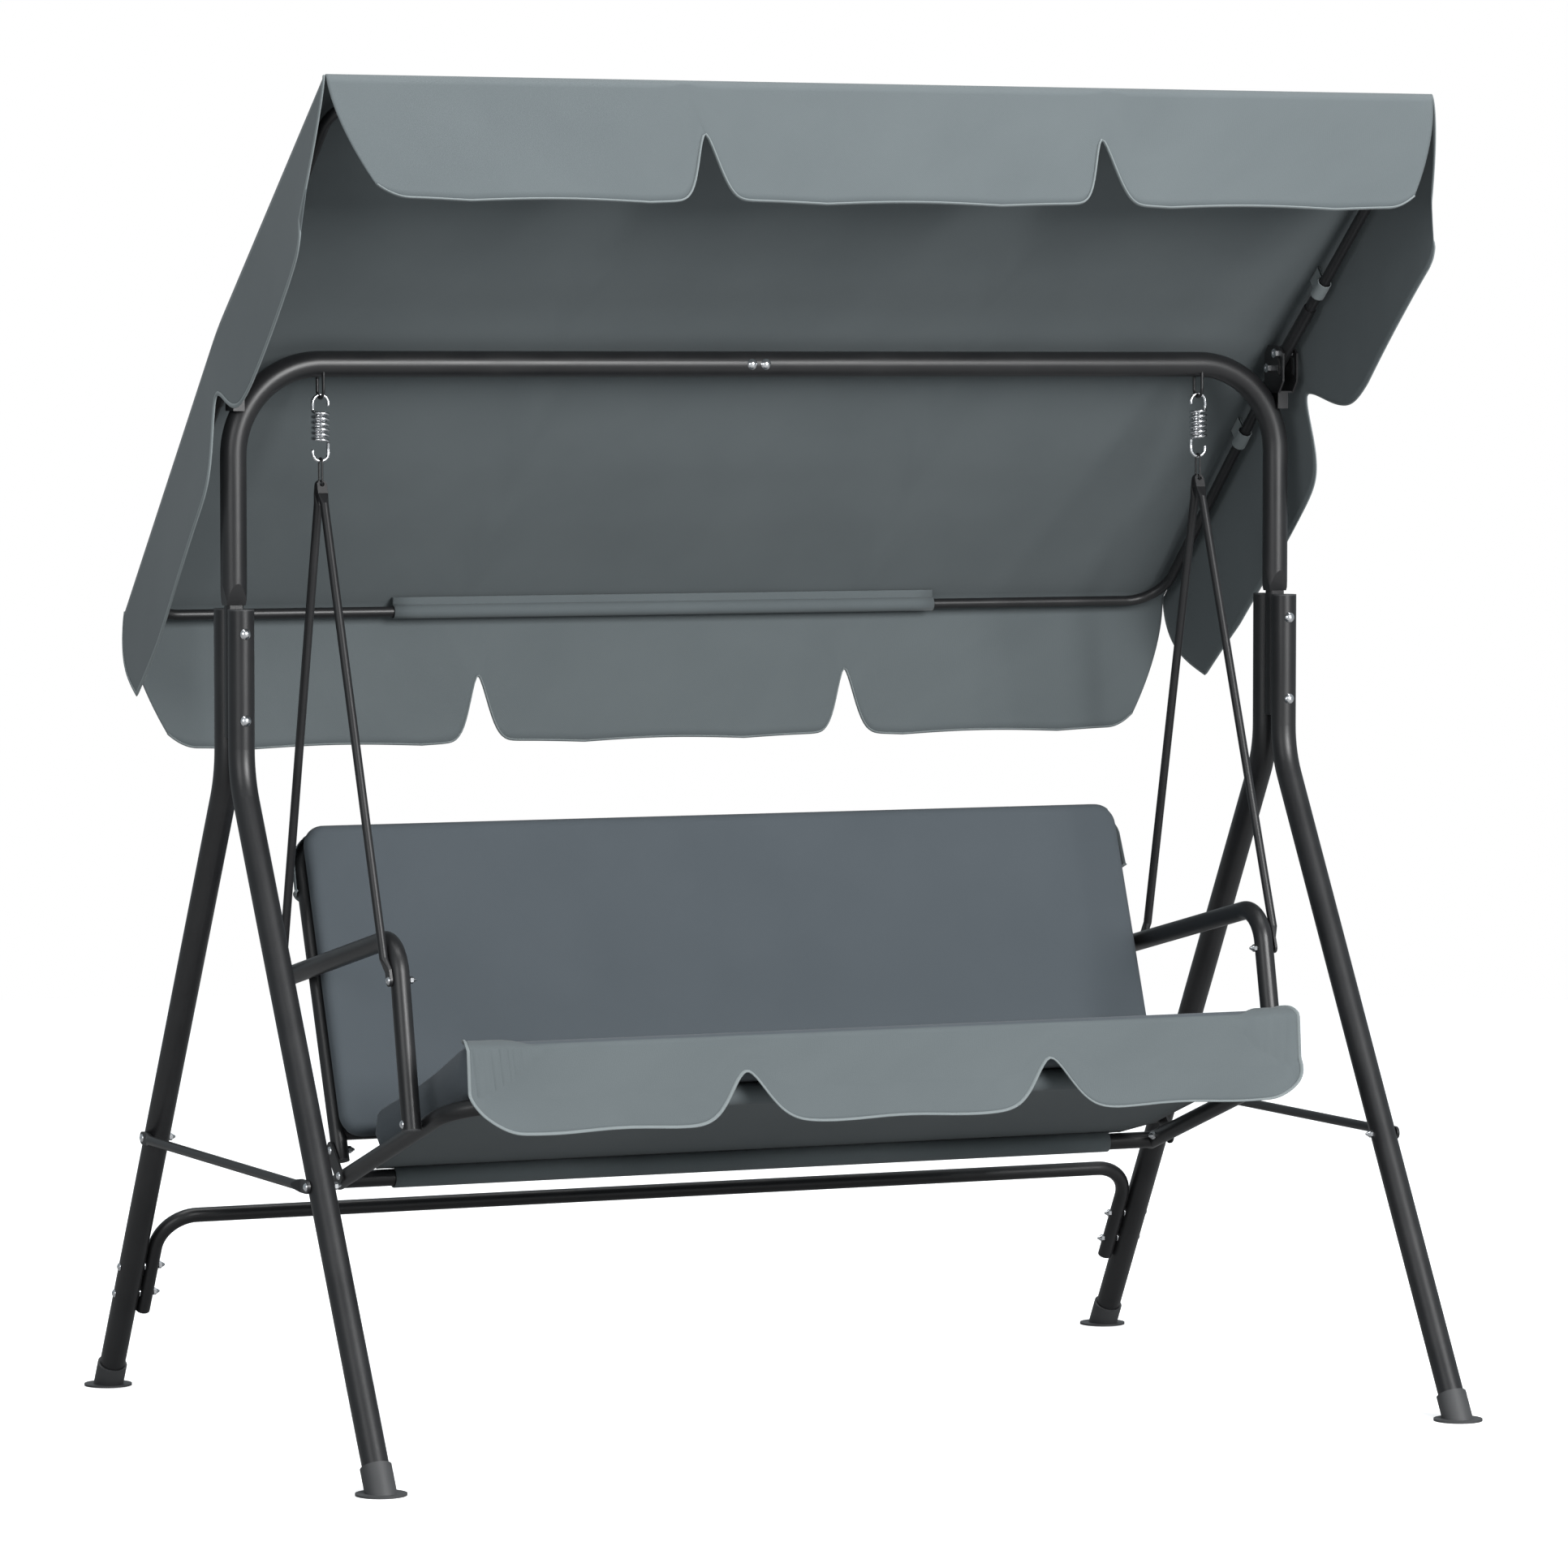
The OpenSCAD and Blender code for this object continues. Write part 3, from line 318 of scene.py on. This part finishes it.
slate = finish("slate_cloth", weave, (0.092, 0.108, 0.114), (0.112, 0.130, 0.136), 0.85)
# The pad cloth is the slate cloth made darker and bluer: painted shade for the canopy's shadow on the
# seat and back pads.
shaded_slate = finish("slate_cloth_painted_shade", weave, (0.070, 0.084, 0.096), (0.084, 0.099, 0.112), 0.85)
slate_hem = finish("slate_hem", weave, (0.17, 0.195, 0.20), (0.21, 0.235, 0.24), 0.8)
black_coat = finish("black_powder_coat", coat, (0.010, 0.010, 0.011), (0.016, 0.016, 0.017), 0.38,
                    bump=0.25, cloth=False, Grain=900.0)
bright_zinc = finish("bright_zinc", coat, (0.62, 0.63, 0.65), (0.80, 0.81, 0.83), 0.24,
                     metal=1.0, bump=0.1, cloth=False, Grain=400.0)
grey_moulding = finish("grey_moulding", coat, (0.038, 0.039, 0.041), (0.052, 0.053, 0.055), 0.55,
                       bump=0.3, cloth=False, Grain=1500.0)
by_slot = {"black_steel": black_coat, "zinc_steel": bright_zinc, "black_plastic": grey_moulding,
           "grey_fabric": slate, "grey_padding": shaded_slate}
for part in frame["record"]["subparts"]:
    holder = frame["nodes"][part["node"]]
    holder.data.materials.clear()
    holder.data.materials.append(by_slot[part["material_slot"]])
print("materials:", [m.name for m in by_slot.values()])

# %% [markdown]
# ## Springs
# Each side hangs on one short, thick spring wound from a single wire, with a hook bent at
# each end. The wire's centre line is a hook, a helix and a second hook joined end to end.


# %% Springs
def spring_line(x, mirror):
    """Centre line of a spring at x: an arc for the upper hook, then a helix whose height
    falls evenly with its angle, then an arc for the lower hook. mirror is -1 or 1."""
    low, high = (np.array(c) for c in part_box("spring_left"))
    wire, hook, coil = 0.005, 0.012, 0.01125
    top, bottom = high[2] - wire / 2, low[2] + wire / 2
    a = np.radians(np.linspace(-20, 168, 26))
    upper = np.stack([hook * np.cos(a), 0 * a, top - hook + hook * np.sin(a)], -1)
    z0, z1 = top - 0.0245, bottom + 0.0285
    t = np.linspace(0, 5.5 * 2 * np.pi, 150) + np.pi
    helix = np.stack([coil * np.cos(t), coil * np.sin(t), np.linspace(z0, z1, 150)], -1)
    a = np.radians(np.linspace(12, -200, 30))
    lower = np.stack([hook * np.cos(a), 0 * a, bottom + hook + hook * np.sin(a)], -1)
    knee = np.array([[-hook, -0.0004, z0 + 0.0075], [-hook * 0.98, 0.0006, z0 + 0.0045]])
    ankle = np.array([[hook * 0.98, -0.0006, z1 - 0.0045], [hook, 0.0004, z1 - 0.0075]])
    line = np.concatenate([upper, knee, helix, ankle, lower])
    line[:, 0] *= -mirror
    line[:, 0] += x
    return line


for node, mirror in (("spring_left", -1), ("spring_right", 1)):
    low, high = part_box(node)
    x = (low[0] + high[0]) / 2
    coil = pipe(node + "_wire", spring_line(x, mirror), 0.0025, bright_zinc, sides=14)
    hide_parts(node)
    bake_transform(coil)
    print(node, "triangles", 2 * len(coil.data.polygons))

# %% [markdown]
# ## Canopy
# The roof is one length of cloth: it starts at the hem of the front skirt, turns over the
# front edge, climbs down over the ridge and ends at the hem of the rear skirt. The side
# skirts are sewn to it. A skirt's hem is scalloped, so its depth is a function of the place
# along it.


# %% Scallop and path helpers
def notch(x, centre, half):
    """A narrow bell: 1 at the notch's apex and one half at 0.82 of half to each side. The
    distance over half is raised to the power 1.8 and taken as a negative exponent of e."""
    return np.exp(-(np.abs(x - centre) / half) ** 1.8)


def walk(corners, radius, steps=8):
    """A line through the corners whose inner corners are rounded: each is replaced by a
    quadratic curve that starts and ends at radius from it."""
    corners = np.asarray(corners, float)
    out = [corners[:1]]
    for a, b, c in zip(corners[:-2], corners[1:-1], corners[2:]):
        p = b + (a - b) / np.linalg.norm(a - b) * radius
        q = b + (c - b) / np.linalg.norm(c - b) * radius
        t = np.linspace(0, 1, steps)[:, None]
        out.append((1 - t) ** 2 * p + 2 * t * (1 - t) * b + t ** 2 * q)
    out.append(corners[-1:])
    return np.concatenate(out)


def even(line, count):
    """The same line with count points spread evenly along it."""
    step = np.linalg.norm(np.diff(line, axis=0), axis=1)
    s = np.concatenate([[0], np.cumsum(step)])
    t = np.linspace(0, s[-1], count)
    return np.stack([np.interp(t, s, line[:, k]) for k in range(line.shape[1])], -1)


# %% Roof with its front and rear skirts
roof_low, roof_high = (np.array(c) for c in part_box("canopy_roof"))
front_low, rear_low = (np.array(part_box("canopy_valance_" + n)[0]) for n in ("front", "rear"))
half_w = roof_high[0] - 0.001
ridge = np.array([0.0, 1.5955])
front_edge = np.array([roof_low[1], roof_high[2] - 0.0008])
rear_edge = np.array([roof_high[1], roof_low[2] + 0.002])
front_dir = np.array([front_low[1] - front_edge[0] + 0.002, front_low[2] - front_edge[1]])
front_deep = np.linalg.norm(front_dir)
front_dir /= front_deep
rear_dir = np.array([rear_low[1] - rear_edge[0] + 0.002, rear_low[2] - rear_edge[1]])
rear_deep = np.linalg.norm(rear_dir)
rear_dir /= rear_deep


def skirt_depth(x, deep, apex, wide):
    """Depth of a front or rear skirt at x: full, less two notches, with a soft wave."""
    cut = notch(x, 0.330, wide) + notch(x, -0.330, wide)
    lobe = 0.004 * np.cos(x / half_w * 3 * np.pi)
    return deep - (deep - apex) * cut - np.abs(lobe) * (1 - cut)


def roof_cloth():
    """Rows of points: x runs across, and the second direction runs from the front hem over
    the ridge to the rear hem. The cloth sags a little between the tubes and the ridge."""
    x = np.linspace(-half_w, half_w, 401)
    crown = even(walk([front_edge, ridge, rear_edge], 0.05, 12), 64)
    t = np.linspace(1, 0, 15)[:, None]
    rows = []
    fd = skirt_depth(x, front_deep, 0.080, 0.0232)
    rd = skirt_depth(x, rear_deep, 0.103, 0.0232)
    for k, depth, edge, way in ((0, fd, front_edge, front_dir), (1, rd, rear_edge, rear_dir)):
        tt = t if k == 0 else t[::-1]
        xs = x[None, :] * (1 - (0.055 if k == 0 else 0.062) * tt ** 1.7 / half_w)
        d = tt * depth[None, :]
        ends = np.clip((np.abs(x) - half_w + 0.05) / 0.05, 0, 1)[None, :]
        d = d * (1 - 0.10 * ends ** 2)
        wave = 0.004 * np.sin(x / half_w * 5.3 + k)[None, :] * tt
        part = np.stack([xs, edge[0] + way[0] * d + wave * (-1 if k == 0 else 1) * 0.8,
                         edge[1] + way[1] * d], -1)
        rows.append(part)
    span = np.linspace(0, 1, len(crown))
    ripple = np.sin(np.pi * span * 9) ** 2 * np.sin(np.pi * span)
    sag = -0.006 * np.sin(np.pi * span * 2) ** 2 - 0.002 * ripple
    top = np.stack([np.broadcast_to(x, (len(crown), len(x))),
                    np.broadcast_to(crown[:, 0:1], (len(crown), len(x))),
                    crown[:, 1:2] + sag[:, None] * np.cos(x / half_w * np.pi / 2)[None, :] ** 0.5], -1)
    return np.concatenate([rows[0][:-1], top, rows[1][1:]]), rows


cloth_points, skirts = roof_cloth()
roof = surface("canopy_cloth", cloth_points, slate, thick=0.0016)
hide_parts("canopy_roof", "canopy_valance_front", "canopy_valance_rear")
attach(roof, "canopy")

# %% Hems of the front and rear skirts
for name, line, push in (("front", skirts[0][0], -0.001), ("rear", skirts[1][-1], 0.001)):
    line = line + np.array([0, push, 0.002])
    hem = pipe("canopy_hem_" + name, line, 0.0033, slate_hem, sides=8, flat=0.45)
    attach(hem, "canopy")

# %% [markdown]
# ## Side skirts
# Each side skirt follows the two slopes of the roof, hangs square to them and leans out at
# the bottom. A single notch under the ridge lets the arch through when the canopy tilts.


# %% Side skirts
def side_skirt(sign):
    """One side skirt: along runs from the front to the rear end of the roof's edge, and the
    depth hangs square to the mean slope, with one notch near the ridge."""
    corners = [front_edge + [0.004, -0.002], ridge, rear_edge + [-0.004, 0.002]]
    top = even(walk(corners, 0.03, 8), 201)
    mean = (rear_edge - front_edge) / np.linalg.norm(rear_edge - front_edge)
    down = np.array([mean[1], -mean[0]])
    down = down if down[1] < 0 else -down
    s = (top - ridge) @ mean
    chord = (top - ridge) @ down
    bottom = np.interp(s, [-0.56, -0.50, -0.42, -0.38, -0.30, -0.10, -0.02, 0.30, 0.45, 0.59],
                       [0.150, 0.176, 0.187, 0.190, 0.191, 0.195, 0.190, 0.203, 0.206, 0.196])
    cut = notch(s, 0.040, 0.050)
    bottom = bottom - (bottom - 0.093) * cut
    t = np.linspace(0, 1, 22)[:, None]
    depth = chord[None, :] + (bottom - chord)[None, :] * t
    front_in = 0.17 * np.clip(t, 0, 1) ** 1.35
    rear_out = 0.035 * np.sin(np.pi * np.clip(t, 0, 1) ** 0.8)
    a = np.clip(-(s[None, :] + 0.30) / 0.26, 0, 1) ** 1.5
    b = np.clip((s[None, :] - 0.45) / 0.14, 0, 1) ** 1.5
    shift = a * front_in + b * rear_out
    p = ridge + mean * (s[None, :, None] + shift[..., None]) + down * depth[..., None]
    lean = math.sin(math.radians(8.0)) * (depth - chord[None, :])
    wave = 0.004 * np.sin(s * 9.0)[None, :] * t
    x = sign * (half_w + 0.0006 + lean + wave)
    return np.stack([x, p[..., 0], p[..., 1]], -1)


for name, sign in (("left", -1), ("right", 1)):
    pts = side_skirt(sign)
    skirt = surface("canopy_skirt_" + name, pts, slate, thick=0.0016)
    edge = np.concatenate([pts[:-1, 0], pts[-1], pts[-2::-1, -1]])
    line = even(edge, 260) + np.array([sign * 0.0006, 0, 0.001])
    hem = pipe("canopy_hem_" + name, line, 0.0033, slate_hem, sides=8, flat=0.45)
    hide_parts("canopy_valance_" + name)
    for piece in (skirt, hem):
        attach(piece, "canopy")

# %% [markdown]
# ## Sleeves and loops under the roof
# The canopy tubes are held by sewn sleeves at the front and rear and by webbing loops on
# the sides. Each is a band of cloth bent round its tube and stitched to the roof.


# %% Sleeves
def band(name, centre, axis, half, radius, up, reach, material):
    """A strip bent round a tube: the cross-section starts at the roof, runs down to the
    tube, goes once round it and returns, and it is carried along axis by half each way."""
    axis, up = np.array(axis, float), np.array(up, float)
    side = np.cross(axis, up)
    a = np.radians(np.linspace(100, 440, 40))
    ring = radius * (np.cos(a)[:, None] * side + np.sin(a)[:, None] * up)
    first = ring[0] + np.linspace(reach - radius, 0, 6)[:-1, None] * up
    last = ring[-1] + np.linspace(0, reach - radius, 6)[1:, None] * up
    section = np.concatenate([first, ring, last])
    t = np.linspace(-half, half, 24)
    pts = np.array(centre)[None, None] + t[:, None, None] * axis + section[None]
    return surface(name, pts, material, thick=0.0012)


rail_low, rail_high = (np.array(c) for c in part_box("canopy_frame_front"))
tail_low, tail_high = (np.array(c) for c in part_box("canopy_frame_rear"))
tube_r = 0.008
bands = [("canopy_sleeve_front", (0, rail_low[1] + tube_r, rail_high[2] - tube_r), 0.449, 0.020),
         ("canopy_sleeve_rear", (0, tail_high[1] - tube_r, tail_low[2] + tube_r), 0.449, 0.022)]
for name, centre, half, reach in bands:
    sleeve = band(name, centre, (1, 0, 0), half, 0.0102, (0, 0, 1), reach, slate)
    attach(sleeve, "canopy")
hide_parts("canopy_sleeves")
print("sleeves", [b[0] for b in bands])

# %% Webbing loops
kink = np.array([-0.0206, 1.5619])
for side, sign in (("left", -1), ("right", 1)):
    for where, way, far in (("front", np.array([-0.763, 0.647]), 0.150),
                            ("rear", np.array([0.728, -0.686]), 0.190)):
        at = kink + way * far
        up = np.array([way[1], -way[0]]) if way[1] > 0 else np.array([-way[1], way[0]])
        up = up if up[1] > 0 else -up
        loop = band("canopy_loop_%s_%s" % (where, side), (sign * 0.848, at[0], at[1]),
                    (0, way[0], way[1]), 0.015, 0.0103, (0, up[0], up[1]), 0.030, slate_hem)
        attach(loop, "canopy")
        if where == "front" and side == "left":
            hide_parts("canopy_straps")
print("loops done")

# %% [markdown]
# ## Padded seat and back
# A pad is a closed form between an upper and a lower face. Both faces come from one rule:
# they meet at the border, and the distance to the border rounds them off, so the edge looks
# stuffed and not cut.


# %% Pad rule
def pad(name, half, top, bottom, round_edge, corner, material, count=(150, 120)):
    """A closed pad. a runs across from -1 to 1 and b along the two lines top and bottom.
    Each point is the middle of the two lines plus half their distance times a factor: the
    factor is 0 at the border and rises like a quarter circle over round_edge."""
    a = np.sin(np.linspace(-1, 1, count[0]) * np.pi / 2)
    a = 0.35 * a + 0.65 * np.linspace(-1, 1, count[0])
    top, bottom = even(np.asarray(top, float), 400), even(np.asarray(bottom, float), 400)
    b = np.linspace(-1, 1, count[1])
    b = 0.35 * np.sin(b * np.pi / 2) + 0.65 * b
    middle = (top + bottom) / 2
    run = float(np.linalg.norm(np.diff(middle, axis=0), axis=1).sum())
    x, w = np.meshgrid(a * half, b * run / 2)
    cx, cw = np.abs(x) - (half - corner), np.abs(w) - (run / 2 - corner)
    inside = (cx > 0) & (cw > 0)
    size = np.hypot(cx, cw)
    scale = np.where(inside, np.maximum(cx, cw) / np.maximum(size, 1e-9), 1)
    x = np.where(inside, np.sign(x) * (half - corner + cx * scale), x)
    w = np.where(inside, np.sign(w) * (run / 2 - corner + cw * scale), w)
    dx, dw = half - np.abs(x), run / 2 - np.abs(w)
    near = np.minimum(dx, dw)
    cx, cw = np.abs(x) - (half - corner), np.abs(w) - (run / 2 - corner)
    near = np.where((cx > 0) & (cw > 0), corner - np.hypot(cx, cw), near)
    f = np.sqrt(np.clip(1 - (1 - np.clip(near / round_edge, 0, 1)) ** 2, 0, 1))
    u = (w / run + 0.5) * 399
    t = np.stack([np.interp(u, np.arange(400), top[:, k]) for k in (0, 1)], -1)
    o = np.stack([np.interp(u, np.arange(400), bottom[:, k]) for k in (0, 1)], -1)
    m = (t + o) / 2
    upper = np.concatenate([x[..., None], m + (t - m) * f[..., None]], -1)
    lower = np.concatenate([x[..., None], m + (o - m) * f[..., None]], -1)
    return tidy(surface(name, np.concatenate([upper, lower[::-1]]), material), 2e-5)


# %% Seat pad
seat_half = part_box("seat_pad")[1][0] - 0.0005
seat_top = walk([(0.0270, 0.4385), (-0.036, 0.470), (-0.147, 0.505), (-0.239, 0.537), (-0.350, 0.584),
                 (-0.388, 0.596), (-0.412, 0.5975), (-0.431, 0.585)], 0.012)
seat_bottom = walk([(0.0095, 0.3905), (-0.147, 0.4427), (-0.300, 0.4938), (-0.415, 0.5320),
                    (-0.4285, 0.5415)], 0.006)
seat_cushion = pad("seat_cushion", seat_half, seat_top, seat_bottom,
                   round_edge=0.013, corner=0.075, material=shaded_slate)
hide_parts("seat_pad")
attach(seat_cushion, "seat")
print("seat cushion", len(seat_cushion.data.polygons), "faces")

# %% Back pad
recline = math.radians(20.45)
lean_up = np.array([math.sin(recline), math.cos(recline)])
lean_front = np.array([-math.cos(recline), math.sin(recline)])
foot_of_back = np.array([0.062, 0.413])


def back_place(n, w):
    """Depth and height of a point n in front of the back tube's centre line and w up it."""
    return foot_of_back + lean_front * n + lean_up * w


back_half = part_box("back_pad")[1][0] - 0.006
back_top = 0.4738
front_face = [back_place(0.0408, 0.0), back_place(0.0408, back_top)]
rear_face = [back_place(0.0128, 0.0), back_place(0.0128, back_top)]
back_cushion = pad("back_cushion", back_half, front_face, rear_face,
                   round_edge=0.016, corner=0.034, material=shaded_slate)
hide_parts("back_pad")
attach(back_cushion, "seat")
print("back cushion", len(back_cushion.data.polygons), "faces")


# %% Back pocket
def pocket():
    """Half of a pillow slip: a flat back whose top and sides curve forward to the pad. The
    distance n from the tube's centre line runs like a quarter circle over the border."""
    half, tall, corner, rim = 0.6783, 0.125, 0.060, 0.0155
    x, w = np.meshgrid(half * np.sin(np.linspace(-1.45, 1.45, 220)) / math.sin(1.45),
                       np.linspace(back_top - tall, back_top + 0.0005, 46))
    cx, cw = np.abs(x) - (half - corner), w - (back_top - corner)
    inside = (cx > 0) & (cw > 0)
    size = np.maximum(np.hypot(cx, cw), 1e-9)
    scale = np.where(inside, np.maximum(cx, cw) / size, 1)
    x = np.where(inside, np.sign(x) * (half - corner + cx * scale), x)
    w = np.where(inside, back_top - corner + cw * scale, w)
    cx, cw = np.abs(x) - (half - corner), w - (back_top - corner)
    near = np.minimum(half - np.abs(x), back_top - w)
    near = np.where((cx > 0) & (cw > 0), corner - np.hypot(cx, cw), near)
    f = np.sqrt(np.clip(1 - (1 - np.clip(near / rim, 0, 1)) ** 2, 0, 1))
    cut = np.clip((np.abs(x) - half + 0.05) / 0.05, 0, 1) * np.clip((back_top - w) / tall, 0, 1)
    w = w + 0.030 * cut
    n = 0.0125 - (0.0125 + 0.0150) * f
    x = x + np.sign(x) * 0.004 * cut
    p = foot_of_back + lean_front * n[..., None] + lean_up * w[..., None]
    return np.stack([x, p[..., 0], p[..., 1]], -1)


pocket_points = pocket()
slip = surface("back_slip", pocket_points, slate, thick=0.0014)
slip_hem = pipe("back_slip_hem", pocket_points[0] + np.array([0, 0.0008, 0.001]), 0.003,
                slate_hem, sides=8, flat=0.5)
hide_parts("back_pocket")
for piece in (slip, slip_hem):
    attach(piece, "seat")

# %% [markdown]
# ## Sling and skirt
# The pad lies on a sling that is wrapped round the front and rear tubes, and a scalloped
# skirt hangs from the front of the pad.


# %% Sling
def sling():
    """The sling's section: once round the rear tube, straight along the top to the front
    tube, and once round that, carried across the seat. Only the sleeves are narrower."""
    slope = math.radians(18.47)
    ahead = np.array([-math.cos(slope), math.sin(slope)])
    lift = np.array([math.sin(slope), math.cos(slope)])
    rear = np.array([0.050, 0.376 - 0.050 * math.tan(slope)])
    run = (0.395 + 0.050) / math.cos(slope)
    r = 0.0145
    a = np.radians(np.linspace(-60, -360, 40))
    back_loop = rear + r * (np.cos(a)[:, None] * lift + np.sin(a)[:, None] * ahead)
    front = rear + ahead * run
    a = np.radians(np.linspace(0, 300, 40))
    fore_loop = front + r * (np.cos(a)[:, None] * lift + np.sin(a)[:, None] * ahead)
    return back_loop, fore_loop


back_loop, fore_loop = sling()
top_line = np.linspace(back_loop[-1], fore_loop[0], 40)[1:-1]
section = np.concatenate([back_loop, top_line, fore_loop])
wide = np.concatenate([np.full(len(back_loop), 0.583), np.full(len(top_line), 0.638),
                       np.full(len(fore_loop), 0.588)])
wide = np.convolve(np.pad(wide, 4, mode="edge"), np.ones(9) / 9, "valid")
across = np.linspace(-1, 1, 60)
flat_shape = (len(section), len(across))
sling_points = np.stack([across[None, :] * wide[:, None],
                         np.broadcast_to(section[:, :1], flat_shape),
                         np.broadcast_to(section[:, 1:], flat_shape)], -1)
seat_sling = surface("seat_sling_cloth", sling_points, slate, thick=0.0022)
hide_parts("seat_sling")
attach(seat_sling, "seat")


# %% Seat skirt
def seat_skirt():
    """Depth against width for the seat's skirt: it hangs from the pad's front edge, leans
    forward, and has two notches and rounded ends, which wrap back round the pad's corners."""
    x = np.linspace(-1, 1, 241)
    t = np.linspace(0, 1, 20)[:, None]
    width = 0.636 + 0.022 * np.sin(np.minimum(1.35 * t[:, 0], 1) * np.pi / 2) - 0.026 * t[:, 0] ** 6
    xx = x[None, :] * width[:, None]
    deep = 0.129 - 0.006 * np.cos(xx[-1] / 0.656 * 3 * np.pi) ** 2 * 0.6
    cut = notch(xx[-1], 0.238, 0.039) + notch(xx[-1], -0.238, 0.039)
    deep = deep - (deep - 0.052) * cut
    d = t * deep[None, :]
    ends = np.clip((np.abs(x) - 0.93) / 0.07, 0, 1)[None, :]
    d = d * (1 - 0.12 * ends ** 2)
    lean = math.radians(17)
    y = -0.4335 - math.sin(lean) * d - 0.003 * np.sin(xx * 7) * t
    z = 0.5955 - math.cos(lean) * d
    wrap = np.clip((np.abs(xx) - 0.50) / 0.14, 0, 1) ** 2.2 * (1 - t) ** 1.3
    y, z = y + 0.072 * wrap, z - 0.010 * wrap
    crest = np.interp(-y, -seat_top[:, 0], seat_top[:, 1]) + 0.003
    z = np.where(y > -0.4312, np.maximum(z, crest), z)
    return np.stack([xx, y, z], -1)


skirt_points = seat_skirt()
skirt = surface("seat_skirt", skirt_points, slate, thick=0.0016)
border = np.concatenate([skirt_points[:-1, 0], skirt_points[-1], skirt_points[-2::-1, -1]])
skirt_hem = pipe("seat_skirt_hem", even(border, 300) + np.array([0, -0.0008, 0.0012]), 0.003,
                 slate_hem, sides=8, flat=0.5)
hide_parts("seat_valance")
for piece in (skirt, skirt_hem):
    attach(piece, "seat")
